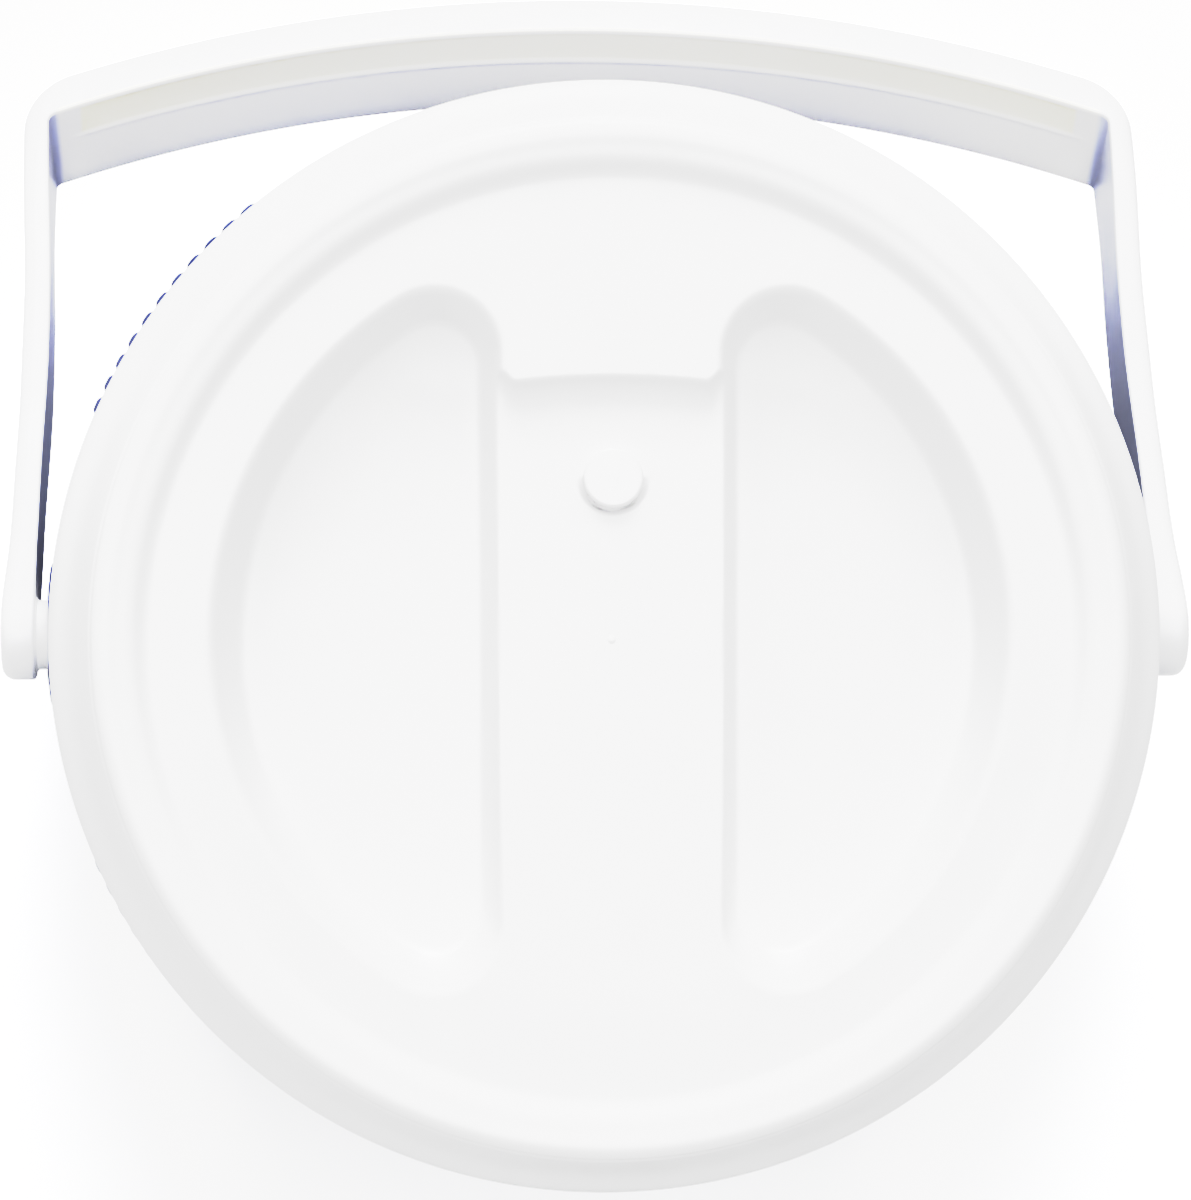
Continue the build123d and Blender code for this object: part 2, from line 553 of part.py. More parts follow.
# gasket under the flange
with BuildPart() as lid_gasket:
    with BuildSketch(Plane.XZ):
        with Locations(((GASKET_R0 + GASKET_R1) / 2, (GASKET_Z0 + GASKET_Z1) / 2)):
            RectangleRounded(GASKET_R1 - GASKET_R0, GASKET_Z1 - GASKET_Z0, 1.0)
    revolve(axis=Axis.Z)
lid_gasket.part.label = "lid_gasket"
export_step(lid_gasket.part, "parts/lid_gasket.step")

# round plug on the grip bar
with BuildPart() as lid_fill_plug:
    with BuildSketch(Plane.XY.offset(BAR_LOW_Z)):
        with Locations((0, PLUG_Y)):
            Circle(PLUG_R)
    extrude(amount=PLUG_TOP_Z - BAR_LOW_Z)
    fillet(lid_fill_plug.edges().group_by(Axis.Z)[-1], 0.9)
    with BuildSketch(Plane.XY.offset(BAR_LOW_Z - 8)):
        with Locations((0, PLUG_Y)):
            Circle(4.0)
    extrude(amount=9)
lid_fill_plug.part.label = "lid_fill_plug"
export_step(lid_fill_plug.part, "parts/lid_fill_plug.step")
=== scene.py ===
import math

import bpy
import numpy as np
from mathutils import Matrix, Vector


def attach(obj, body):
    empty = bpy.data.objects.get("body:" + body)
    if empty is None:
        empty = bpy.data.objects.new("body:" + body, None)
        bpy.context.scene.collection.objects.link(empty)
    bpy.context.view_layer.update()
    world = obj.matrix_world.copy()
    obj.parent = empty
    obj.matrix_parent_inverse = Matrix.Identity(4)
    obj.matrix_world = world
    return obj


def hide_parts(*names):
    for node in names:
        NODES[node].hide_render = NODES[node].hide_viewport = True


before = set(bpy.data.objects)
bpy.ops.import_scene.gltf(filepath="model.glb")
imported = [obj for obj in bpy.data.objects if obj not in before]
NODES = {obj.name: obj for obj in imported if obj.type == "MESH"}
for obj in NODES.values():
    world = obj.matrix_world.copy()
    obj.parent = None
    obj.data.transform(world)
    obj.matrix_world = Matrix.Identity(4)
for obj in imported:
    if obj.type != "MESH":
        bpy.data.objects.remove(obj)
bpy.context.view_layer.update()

# ------------------------------------------------------------------ sizes, millimetres
LAND_Z = 348.0
LIP_Z = 314.5
PLUG_DX, PLUG_Y = 0.5, 37.0
PIVOT_Z = 283.5
DROOP = math.radians(35.7)
EU = np.array([0.0, math.cos(DROOP), -math.sin(DROOP)])
ET = np.array([0.0, math.sin(DROOP), math.cos(DROOP)])


# ------------------------------------------------------------------ small helpers
def smooth(e0, e1, x):
    t = np.clip((x - e0) / (e1 - e0), 0.0, 1.0)
    return t * t * (3 - 2 * t)


def smoother(t):
    t = np.clip(t, 0.0, 1.0)
    return t * t * t * (t * (6 * t - 15) + 10)


def hermite_curve(points, tangents, per_span):
    """Smooth curve through the points, with a chord-length cubic spline; tangents are unit vectors at both ends."""
    p = np.array(points, float)
    n = len(p)
    h = np.maximum(np.linalg.norm(np.diff(p, axis=0), axis=1), 1e-9)
    a = np.zeros((n, n))
    b = np.zeros((n, 2))
    a[0, 0] = a[-1, -1] = 1
    b[0], b[-1] = tangents
    for i in range(1, n - 1):
        a[i, i - 1] = h[i]
        a[i, i] = 2 * (h[i - 1] + h[i])
        a[i, i + 1] = h[i - 1]
        b[i] = 3 * (h[i] * (p[i] - p[i - 1]) / h[i - 1] + h[i - 1] * (p[i + 1] - p[i]) / h[i])
    m = np.linalg.solve(a, b)
    out = []
    for i in range(n - 1):
        k = max(2, int(round(h[i] / per_span)))
        t = np.linspace(0, 1, k + 1)[:-1, None]
        out.append((2 * t**3 - 3 * t**2 + 1) * p[i] + (t**3 - 2 * t**2 + t) * h[i] * m[i]
                   + (-2 * t**3 + 3 * t**2) * p[i + 1] + (t**3 - t**2) * h[i] * m[i + 1])
    out.append(p[-1:])
    return np.vstack(out)


def make_object(name, verts, faces, sharp=None):
    """Object from vertices in millimetres."""
    me = bpy.data.meshes.new(name)
    me.from_pydata((np.asarray(verts, float) * 0.001).tolist(), [], [tuple(int(i) for i in f) for f in faces])
    me.validate()
    me.update()
    me.shade_smooth()
    if sharp is not None:
        me.set_sharp_from_angle(angle=math.radians(sharp))
    ob = bpy.data.objects.new(name, me)
    bpy.context.scene.collection.objects.link(ob)
    return ob


def grid_faces(ids, wrap_j=False, skip=None, flip=False):
    """Quads over a 2-D array of vertex ids."""
    ni, nj = ids.shape
    faces = []
    last = nj if wrap_j else nj - 1
    for i in range(ni - 1):
        for j in range(last):
            if skip is not None and skip(i, j):
                continue
            k = (j + 1) % nj
            q = [ids[i, j], ids[i + 1, j], ids[i + 1, k], ids[i, k]]
            u = []
            for v in q:
                if v not in u:
                    u.append(v)
            if len(u) >= 3:
                faces.append(u[::-1] if flip else u)
    return faces


class Build:
    """Collects vertices and faces for one closed mesh."""

    def __init__(self):
        self.v = []
        self.f = []
        self.n = 0

    def add(self, pts):
        pts = np.asarray(pts, float).reshape(-1, 3)
        start = self.n
        self.v.append(pts)
        self.n += len(pts)
        return np.arange(start, self.n)

    def verts(self):
        return np.vstack(self.v)


def revolve(profile, steps, axis_point=(0, 0, 0), axis="Z", side=1, start=0.0):
    """Closed solid of revolution from an (r, h) profile whose ends may lie on the axis."""
    b = Build()
    ang = start + np.arange(steps) * 2 * math.pi / steps
    rows = []
    for r, h in profile:
        if r < 1e-6:
            pts = np.array([[0.0, 0.0, h]])
            i = b.add(pts)
            rows.append(np.repeat(i, steps))
        else:
            rows.append(b.add(np.stack([r * np.cos(ang), r * np.sin(ang), np.full(steps, h)], 1)))
    ids = np.array(rows)
    faces = grid_faces(ids, wrap_j=True)
    if not (profile[0][0] < 1e-6 and profile[-1][0] < 1e-6):
        closed = np.array([rows[-1], rows[0]])
        faces += grid_faces(closed, wrap_j=True)
    v = b.verts()
    if axis == "X":
        v = np.stack([side * v[:, 2], side * v[:, 0], v[:, 1]], 1)
    v = v + np.array(axis_point, float)
    return v, faces


def arc_pts(cx, cy, r, a0, a1, n):
    a = np.radians(np.linspace(a0, a1, n))
    return [(cx + r * math.cos(t), cy + r * math.sin(t)) for t in a]


# ------------------------------------------------------------------ lid skin
def d_outline(x, y, r_out, x_in, rc):
    """Distance to the outline of a D-shaped pocket with round corners, negative inside."""
    ax, ay, r = np.abs(x), np.abs(y), np.hypot(x, y)
    cx, rad = x_in + rc, r_out - rc
    cy = math.sqrt(rad**2 - cx**2)
    a, b = r - rad, cx - ax
    inside = np.maximum(a, b)
    on_line = (b > 0) & (ay <= cy)
    on_arc = (a > 0) & (ax * rad >= cx * r)
    tip = np.hypot(ax - cx, ay - cy)
    out = np.where(on_line, b, np.where(on_arc, a, tip))
    return np.where(inside <= 0, inside, out) - rc


def wall_profile():
    """Share of the depth against share of the width, for a drafted wall rounded at its top and foot."""
    depth, r1, r2, th = 18.0, 3.0, 2.2, math.radians(70.0)
    xs, ds = [0.0], [0.0]
    for a in np.linspace(0, th, 12)[1:]:
        xs.append(r1 * math.sin(a))
        ds.append(r1 * (1 - math.cos(a)))
    run = (depth - (r1 + r2) * (1 - math.cos(th))) / math.tan(th)
    x0, d0 = xs[-1] + run, ds[-1] + run * math.tan(th)
    for a in np.linspace(0, th, 12):
        xs.append(x0 + r2 * (math.sin(th) - math.sin(th - a)))
        ds.append(d0 + r2 * (math.cos(th - a) - math.cos(th)))
    xs, ds = np.array(xs), np.array(ds)
    return xs / xs[-1], ds / ds[-1]


WALL_T, WALL_D = wall_profile()


def pocket_drop(x, y, grow=0.0):
    top = -d_outline(x, y, 92.8 + grow, 23.9 - grow, 16.4 + grow)
    low = d_outline(x, y, 83.5 + grow, 30.4 - grow, 9.6 + grow)
    t = np.where(top <= 0, 0.0, np.where(low <= 0, 1.0, top / np.maximum(top + low, 1e-6)))
    return 18.0 * np.interp(t, WALL_T, WALL_D)


def bar_drop(x, y):
    low = LAND_Z - 343.2
    edge = 60.3 - 1.7 * np.clip(np.abs(x) / 25.0, 0, 1.4) ** 2 + 3.4 * smooth(20.6, 25.6, np.abs(x)) ** 2
    s = edge - y
    slope = np.clip((y + 86.0) / 130.0, 0, 1)
    base = low * np.where(y < 44, slope, 1.0)
    ease = smooth(-0.7, 1.5, s)
    step = 1 - np.exp(-np.maximum(s, 0) / 2.4)
    mask = 1 - smooth(27.0, 31.5, np.abs(x))
    start = smooth(-88.0, -70.0, y)
    return base * ease * step * mask * (0.35 + 0.65 * start) + plug_moat(x, y)


def plug_moat(x, y):
    """Hollow at the foot of the plug, on the side away from the step."""
    d = np.hypot(x - PLUG_DX, y - PLUG_Y)
    away = (PLUG_Y - y) / np.maximum(d, 0.5)
    return 3.2 * (1 - smooth(7.2, 8.9, d)) * smooth(-0.1, 0.9, away)


def top_drop(x, y, grow=0.0):
    p = pocket_drop(x, y, grow)
    b = bar_drop(x, y)
    return (p**4 + b**4) ** 0.25


def lid_skin():
    steps = 720
    ang = np.arange(steps) * 2 * math.pi / steps
    ring = hermite_curve(
        [(104.6, 348.0), (105.7, 348.16), (106.7, 348.72), (107.6, 349.55), (108.6, 350.45), (109.8, 351.02),
         (112.4, 351.55), (115.0, 352.0), (116.4, 351.84), (117.6, 351.25), (118.4, 350.45), (119.2, 348.8),
         (120.0, 346.4), (121.0, 343.0), (122.2, 338.6), (123.2, 335.4), (124.4, 332.6), (125.8, 330.3),
         (127.2, 328.5), (128.5, 326.6), (129.3, 324.2), (129.55, 321.0), (129.4, 315.5)],
        [(1, 0), (-0.03, -1)], 0.4)
    ring[:, 1] = np.minimum(ring[:, 1], 352.0)
    # fine line round the outside of the ring
    groove = 0.3 * np.exp(-((ring[:, 0] - 118.55) / 0.26) ** 2)
    ring = ring - np.stack([groove * 0.75, groove * 0.65], 1)
    flat_r = np.concatenate([[0.0], np.arange(0.2, 3.0, 0.2), np.arange(3.2, 22.0, 0.9), np.arange(22.0, 26.5, 0.6),
                             np.arange(26.8, 36.4, 0.3), np.arange(36.4, 100.0, 0.6),
                             np.arange(100.0, 104.5, 1.0)])
    top = [(r, LAND_Z) for r in flat_r] + [tuple(p) for p in ring]
    lip = arc_pts(128.3, 315.4, 1.06, 0, -180, 9)[1:]
    inner = hermite_curve(
        [(127.25, 315.4), (127.3, 320.0), (126.9, 323.4), (125.6, 326.0), (123.6, 328.6), (121.6, 332.8),
         (120.2, 337.4), (118.9, 342.4), (117.4, 347.2), (116.0, 349.0), (114.4, 349.2), (111.6, 347.2),
         (109.0, 345.6)], [(0, 1), (-1, -0.35)], 1.6)[1:]
    under_r = np.concatenate([np.arange(107.0, 100.0, -1.6), np.arange(99.0, 20.0, -1.2), np.arange(20.0, 1.0, -3.0), [0.0]])
    b = Build()
    rows = []

    def row(r, z, drop, dz=0.0):
        if r < 1e-6:
            i = b.add([[0.0, 0.0, z - (float(top_drop(np.array(0.0), np.array(0.0))) if drop else 0.0) + dz]])
            rows.append(np.repeat(i, steps))
            return
        x, y = r * np.cos(ang), r * np.sin(ang)
        zz = np.full(steps, float(z))
        if drop:
            zz = zz - top_drop(x, y)
        rows.append(b.add(np.stack([x, y, zz + dz], 1)))

    # gate mark in the middle of the bar
    for r, z in top:
        dot = 0.28 * math.exp(-(r / 0.75) ** 4) if r < 3 else 0.0
        row(r, z, r < 100.0, dot)
    for r, z in lip:
        row(r, z, False)
    for r, z in inner:
        row(r, z, False)
    for r in under_r:
        row(r, LAND_Z - 2.4, r < 100.0)
    ids = np.array(rows)
    faces = grid_faces(ids, wrap_j=True)
    ob = make_object("lid_skin", b.verts(), faces)
    return ob


def lid_core():
    """Foam between the lid's skin and its pan."""
    steps = 240
    ang = np.arange(steps) * 2 * math.pi / steps
    b = Build()
    rows = []
    under = 2.7

    def row(r, z, drop):
        if r < 1e-6:
            zz = z - (float(top_drop(np.array(0.0), np.array(0.0), 0.8)) if drop else 0.0)
            rows.append(np.repeat(b.add([[0.0, 0.0, zz]]), steps))
            return
        x, y = r * np.cos(ang), r * np.sin(ang)
        zz = np.full(steps, float(z))
        if drop:
            # kept well clear of the hollow under the plug
            zz = zz - top_drop(x, y, 0.8) - 2.0 * (1 - smooth(11.0, 16.0, np.hypot(x, y - PLUG_Y)))
        rows.append(b.add(np.stack([x, y, zz], 1)))

    for r in np.concatenate([[0.0], np.arange(4.0, 99.0, 1.6)]):
        row(r, LAND_Z - 2.4 - under + 2.1, True)
    for r, z in ((101.0, 345.2), (108.0, 345.1), (111.6, 346.7), (114.4, 348.6), (115.8, 348.4), (117.0, 346.8),
                 (118.5, 342.2), (118.9, 341.3), (95.0, 341.3), (94.2, 340.6), (94.1, 321.0), (93.4, 320.3)):
        row(r, z, False)
    for r in (84.0, 70.0, 50.0, 25.0, 0.0):
        row(r, 320.3, False)
    ids = np.array(rows)
    return make_object("lid_core", b.verts(), grid_faces(ids, wrap_j=True), sharp=45)


def lid_button():
    c = 343.1
    prof = [(0.0, 346.56), (0.5, 346.56), (0.85, 346.53), (1.2, 346.47), (1.5, 346.44), (3.0, 346.44), (4.6, 346.46),
            (5.6, 346.46), (6.0, 346.44)]
    prof += [(6.0 + 0.82 * math.sin(a), 345.62 + 0.82 * math.cos(a)) for a in np.radians(np.linspace(10, 90, 9))]
    prof += [(6.84, 344.6), (6.84, c), (6.84, c - 0.4), (6.5, c - 0.8), (3.9, c - 0.8), (3.9, 336.0), (3.6, 335.6), (0.0, 335.6)]
    v, f = revolve(prof[::-1], 120, (PLUG_DX, PLUG_Y, 0))
    # two small marks on the disc's face, which leans back a little towards the step
    x, y, z = v[:, 0], v[:, 1], v[:, 2]
    nub = 0.16 * np.exp(-(((x - PLUG_DX + 0.2) / 1.0) ** 2 + ((y - PLUG_Y + 2.4) / 0.9) ** 2) ** 2)
    dash = 0.10 * np.exp(-(((x - 1.4) / 1.1) ** 2 + ((y - PLUG_Y - 2.6) / 0.35) ** 2) ** 2)
    lean = 0.085 * (y - PLUG_Y + 6.9) * smooth(343.6, 345.4, z)
    v[:, 2] = z + np.where(z > 346.3, nub + dash, 0) - lean
    return make_object("lid_button", v, f, sharp=50)


# ------------------------------------------------------------------ body wall
RIB_PITCH, RIB_COUNT, RIB_MID, RIB_ARC, RIB_PROUD = 2.573, 11, 37.5, 1.95, 1.1
RIB_Z0, RIB_Z1 = 24.0, 305.0


def circle_through(p0, p1, p2):
    (x1, y1), (x2, y2), (x3, y3) = p0, p1, p2
    d = 2 * (x1 * (y2 - y3) + x2 * (y3 - y1) + x3 * (y1 - y2))
    ux = ((x1**2 + y1**2) * (y2 - y3) + (x2**2 + y2**2) * (y3 - y1) + (x3**2 + y3**2) * (y1 - y2)) / d
    uy = ((x1**2 + y1**2) * (x3 - x2) + (x2**2 + y2**2) * (x1 - x3) + (x3**2 + y3**2) * (x2 - x1)) / d
    return ux, uy, math.hypot(x1 - ux, y1 - uy)


BC = circle_through((129.9, 0.0), (135.0, 155.0), (129.6, 313.2))


def barrel(z, inset=0.0):
    return BC[0] + np.sqrt(np.maximum((BC[2] - inset) ** 2 - (z - BC[1]) ** 2, 0))


def rib_centres():
    out = []
    for base in (RIB_MID, 180 - RIB_MID, 180 + RIB_MID, 360 - RIB_MID):
        for i in range(RIB_COUNT):
            out.append(base + (i - (RIB_COUNT - 1) / 2) * RIB_PITCH)
    return out


def rib_height(deg, z):
    h = np.zeros_like(deg)
    for c in rib_centres():
        d = np.abs((deg - c + 180) % 360 - 180)
        t = np.clip(d / (RIB_ARC / 2), 0, 1)
        h = np.maximum(h, (1 - t**4) ** 0.75)
    ends = smooth(RIB_Z0, RIB_Z0 + 7.0, z) * (1 - smooth(RIB_Z1 - 7.0, RIB_Z1, z))
    return RIB_PROUD * h * ends


def wall_angles():
    """Bearings of the wall's columns, closer together across the ribs and the pivots."""
    out = set()
    for c in rib_centres():
        for k in range(13):
            out.add(round((c + (k - 6) * RIB_PITCH / 12) % 360, 4))
    a = 0.0
    mids = (RIB_MID, 180 - RIB_MID, 180 + RIB_MID, 360 - RIB_MID)
    half = RIB_COUNT * RIB_PITCH / 2
    for a in np.arange(0, 360, 1.25):
        if all(abs((a - m + 180) % 360 - 180) > half + 0.5 for m in mids):
            out.add(round(float(a), 4))
    vals = sorted(out)
    keep = [vals[0]]
    for v in vals[1:]:
        if v - keep[-1] > 0.08:
            keep.append(v)
    return np.array(keep)


def base_z(x, y):
    r = np.hypot(x, y)
    d = smooth(96.6, 97.4, r) * (1 - smooth(102.6, 103.4, r))
    return 1.0 * d


def ring_patch(b, loop_ids, loop2d, centre, radii, blend_rings, chart):
    """Rings of quads between an outer loop of vertices and a round hole. Returns the ids of the hole's ring."""
    loop2d = np.asarray(loop2d, float)
    c = np.array(centre, float)
    d = loop2d - c
    ang = np.arctan2(d[:, 1], d[:, 0])
    unit = np.stack([np.cos(ang), np.sin(ang)], 1)
    rows = [np.array(loop_ids)]
    big = radii[0]
    for k in range(1, blend_rings + 1):
        s = k / (blend_rings + 1)
        p = loop2d * (1 - s) + (c + unit * big) * s
        rows.append(b.add(chart(p)))
    for r in radii:
        rows.append(b.add(chart(c + unit * r)))
    return rows


def body_skin():
    b = Build()
    deg = wall_angles()
    n = len(deg)
    rad = np.radians(deg)
    # outer side, from the middle of the base to the shoulder bore
    fil = 11.0
    # base fillet between z = 0 and the barrel arc
    fz = fil
    fx = BC[0] + math.sqrt((BC[2] - fil) ** 2 - (fz - BC[1]) ** 2)
    tang = math.degrees(math.atan2(fz - BC[1], fx - BC[0]))
    base_arc = arc_pts(fx, fz, fil, -90, tang, 14)
    z_start = base_arc[-1][1]
    rim = 1.6
    rz = 313.2 - rim
    rx = BC[0] + math.sqrt((BC[2] - rim) ** 2 - (rz - BC[1]) ** 2)
    ta = math.degrees(math.atan2(rz - BC[1], rx - BC[0]))
    rim_arc = arc_pts(rx, rz, rim, ta, 90, 7)
    z_end = rim_arc[0][1]
    zs = np.concatenate([[z_start], np.arange(math.ceil(z_start + 1), 34.0, 1.5), np.arange(34.0, 258.0, 8.0),
                         np.arange(258.0, 310.0, 1.5), [z_end]])
    zs = zs[(zs >= z_start) & (zs <= z_end)]
    zs = np.unique(np.round(zs, 4))
    base_r = [0.0, 12.0, 24.0, 34.0, 42.0, 48.0, 55.0, 62.0, 68.0, 78.0, 88.0, 95.0, 96.4, 96.8, 97.2, 97.6, 99.0, 101.0,
              102.4, 102.8, 103.2, 103.6, 106.0, 112.0]
    rows, kind = [], []

    def polar_row(r, z):
        return b.add(np.stack([r * np.cos(rad), r * np.sin(rad), np.full(n, float(z))], 1))

    for r in base_r:
        if r == 0.0:
            rows.append(np.repeat(b.add([[0, 0, 0]]), n))
        else:
            rows.append(polar_row(r, float(base_z(np.array(r), np.array(0.0)))))
        kind.append(("base", r))
    for r, z in base_arc:
        rows.append(polar_row(r, z))
        kind.append(("arc", z))
    for z in zs[1:-1]:
        rr = barrel(z) + rib_height(deg, np.full(n, z))
        rows.append(b.add(np.stack([rr * np.cos(rad), rr * np.sin(rad), np.full(n, z)], 1)))
        kind.append(("wall", z))
    for r, z in rim_arc:
        rows.append(polar_row(r, z))
        kind.append(("rim", z))
    for r, z in ((122.0, 313.2), (115.0, 313.2), (112.6, 313.2), (112.3, 312.9), (112.3, 311.1), (112.6, 310.8),
                 (120.0, 310.8), (126.6, 310.8)):
        rows.append(polar_row(r, z))
        kind.append(("top", z))
    # inner side
    in_zs = np.concatenate([[309.0], np.arange(304.0, 20.0, -4.0), [16.0, 13.0]])
    for z in in_zs:
        rr = barrel(z, 2.4)
        rows.append(b.add(np.stack([rr * np.cos(rad), rr * np.sin(rad), np.full(n, z)], 1)))
        kind.append(("in", z))
    ifx = BC[0] + math.sqrt((BC[2] - fil) ** 2 - (fil - BC[1]) ** 2)
    for r, z in arc_pts(ifx, fil, fil - 2.4, -10, -90, 8):
        rows.append(polar_row(r, z))
        kind.append(("in", z))
    for r in (105.0, 94.0, 80.0, 68.0, 62.0, 55.0, 48.0, 42.0, 30.0, 15.0, 0.0):
        if r == 0.0:
            rows.append(np.repeat(b.add([[0, 0, 2.4]]), n))
        else:
            rows.append(polar_row(r, 2.4))
        kind.append(("inbase", r))
    ids = np.array(rows)
    P = b.verts()

    def col_window(mid, half):
        d = (deg - mid + 180) % 360 - 180
        inside = np.where(np.abs(d) <= half)[0]
        order = inside[np.argsort(d[inside])]
        return order

    skips = set()

    def cut_window(row_lo, row_hi, cols):
        for i in range(row_lo, row_hi):
            for k in range(len(cols) - 1):
                skips.add((i, int(cols[k])))
        loop = []
        for k in range(len(cols)):
            loop.append((row_lo, cols[k]))
        for i in range(row_lo + 1, row_hi + 1):
            loop.append((i, cols[-1]))
        for k in range(len(cols) - 2, -1, -1):
            loop.append((row_hi, cols[k]))
        for i in range(row_hi - 1, row_lo, -1):
            loop.append((i, cols[0]))
        return [int(ids[i, j]) for i, j in loop]

    def rows_between(k0, lo, hi):
        f = [i for i, (k, z) in enumerate(kind) if k == k0 and lo <= z <= hi]
        return min(f), max(f)

    extra = []
    pad_x = 131.05
    for side, mid in ((1, 0.0), (-1, 180.0)):
        cols = col_window(mid, 10.1)
        lo, hi = rows_between("wall", 262.0, 305.2)
        loop = cut_window(lo, hi, cols)
        ilo, ihi = rows_between("in", 262.0, 305.2)
        iloop = cut_window(ilo, ihi, cols)

        def outer(p, side=side):
            y, z = p[:, 0], p[:, 1]
            x = np.sqrt(np.maximum(barrel(z) ** 2 - y**2, 0))
            r = np.hypot(y, z - PIVOT_Z)
            k = 1 - smooth(16.4, 18.0, r)
            return np.stack([side * (x + (pad_x - x) * k), y, z], 1)

        def inner(p, side=side):
            y, z = p[:, 0], p[:, 1]
            x = np.sqrt(np.maximum(barrel(z, 2.4) ** 2 - y**2, 0))
            return np.stack([side * x, y, z], 1)

        prs = ring_patch(b, loop, P[loop][:, 1:3], (0, PIVOT_Z),
                         [18.4, 18.0, 17.6, 17.2, 16.8, 16.4, 16.0, 14.5, 12.7, 12.3], 2, outer)
        irs = ring_patch(b, iloop, P[iloop][:, 1:3], (0, PIVOT_Z), [18.0, 14.0, 10.7], 2, inner)
        m = len(loop)
        d = P[loop][:, 1:3] - np.array([0, PIVOT_Z])
        ang = np.arctan2(d[:, 1], d[:, 0])
        ring = lambda r, x: b.add(np.stack([np.full(m, side * x), r * np.cos(ang), PIVOT_Z + r * np.sin(ang)], 1))
        prs.append(ring(12.06, pad_x - 0.2))
        prs.append(ring(12.06, pad_x - 1.35))
        prs.append(ring(11.8, pad_x - 1.45))
        prs.append(ring(10.7, pad_x - 1.45))
        prs.append(ring(10.46, pad_x - 1.7))
        di = P[iloop][:, 1:3] - np.array([0, PIVOT_Z])
        ai = np.arctan2(di[:, 1], di[:, 0])
        inner_ring = b.add(np.stack([np.full(len(iloop), side * 128.4), 10.46 * np.cos(ai), PIVOT_Z + 10.46 * np.sin(ai)], 1))
        extra.append((prs, "out", side))
        extra.append((irs + [inner_ring], "in", side))
        extra.append((prs[-1], inner_ring, ang, ai))
    # hole in the base for its plug
    cols = col_window(90.0, 15.0)
    lo, hi = rows_between("base", 42.0, 68.0)
    loop = cut_window(lo, hi, cols)
    ilo, ihi = rows_between("inbase", 42.0, 68.0)
    iloop = cut_window(ilo, ihi, cols)
    prs = ring_patch(b, loop, P[loop][:, 0:2], (0, 55.0), [10.4, 9.7, 9.3], 1,
                     lambda p: np.stack([p[:, 0], p[:, 1], np.zeros(len(p))], 1))
    m = len(loop)
    d = P[loop][:, 0:2] - np.array([0, 55.0])
    ang = np.arctan2(d[:, 1], d[:, 0])
    prs.append(b.add(np.stack([9.06 * np.cos(ang), 55 + 9.06 * np.sin(ang), np.full(m, 0.25)], 1)))
    irs = ring_patch(b, iloop, P[iloop][:, 0:2], (0, 55.0), [10.4, 9.3], 1,
                     lambda p: np.stack([p[:, 0], p[:, 1], np.full(len(p), 2.4)], 1))
    di = P[iloop][:, 0:2] - np.array([0, 55.0])
    ai = np.arctan2(di[:, 1], di[:, 0])
    inner_ring = b.add(np.stack([9.06 * np.cos(ai), 55 + 9.06 * np.sin(ai), np.full(len(iloop), 2.2)], 1))
    extra.append((prs, "out", 0))
    extra.append((irs + [inner_ring], "in", 0))
    extra.append((prs[-1], inner_ring, ang, ai))

    faces = grid_faces(ids, wrap_j=True, skip=lambda i, j: (i, j) in skips)
    for e in extra:
        if len(e) == 3:
            faces += grid_faces(np.array(e[0]), wrap_j=True)
        else:
            faces += stitch(e[0], e[1], e[2], e[3])
    return make_object("body_skin", b.verts(), faces, sharp=35)


def stitch(a, c, ang_a, ang_c):
    """Triangles and quads between two rings with different counts, by bearing."""
    ta, tc = np.unwrap(ang_a), np.unwrap(ang_c)
    if ta[-1] < ta[0]:
        a, ta = a[::-1], np.unwrap(ang_a[::-1])
    if tc[-1] < tc[0]:
        c, tc = c[::-1], np.unwrap(ang_c[::-1])
    ta = ta % (2 * math.pi)
    tc = tc % (2 * math.pi)
    ia, ic = int(np.argmin(ta)), int(np.argmin(tc))
    a, ta = np.roll(a, -ia), np.roll(ta, -ia)
    c, tc = np.roll(c, -ic), np.roll(tc, -ic)
    faces, i, j, na, nc = [], 0, 0, len(a), len(c)
    while i < na or j < nc:
        nxt_a = ta[i + 1] if i + 1 < na else ta[0] + 2 * math.pi
        nxt_c = tc[j + 1] if j + 1 < nc else tc[0] + 2 * math.pi
        if j >= nc or (i < na and nxt_a <= nxt_c):
            faces.append([a[i % na], c[j % nc], a[(i + 1) % na]])
            i += 1
        else:
            faces.append([a[i % na], c[j % nc], c[(j + 1) % nc]])
            j += 1
    return faces


# ------------------------------------------------------------------ bail
HALF, GRIP_OUT_MID, GRIP_OUT_R, GRIP_IN_MID, GRIP_IN_R = 142.2, 193.1, 337.0, 178.9, 335.3
C_OUT, C_IN, ARM_TOP_IN, BAIL_SHIFT = 19.0, 3.0, 135.3, -0.5
ARM_OUT = [(142.2, 0.0), (141.0, 20.0), (140.45, 40.0), (139.95, 60.0), (139.95, 80.0), (140.08, 100.0),
           (140.93, 120.0), (141.8, 140.0)]
ARM_IN = [(134.5, 0.0), (134.1, 24.0), (133.95, 42.0), (133.66, 54.0), (133.27, 73.0), (133.42, 90.0),
          (133.8, 105.0), (134.7, 125.0), (135.15, 139.0)]


def on_arc(mid, radius, x):
    return mid - radius + math.sqrt(radius**2 - x**2)


def arm_curve(points, x_top, mid, radius):
    """Dense (u, x) table along one face of the arm."""
    c = hermite_curve(points + [(x_top, on_arc(mid, radius, x_top))], [(0, 1), (0, 1)], 0.5)
    return c[:, 1], c[:, 0]


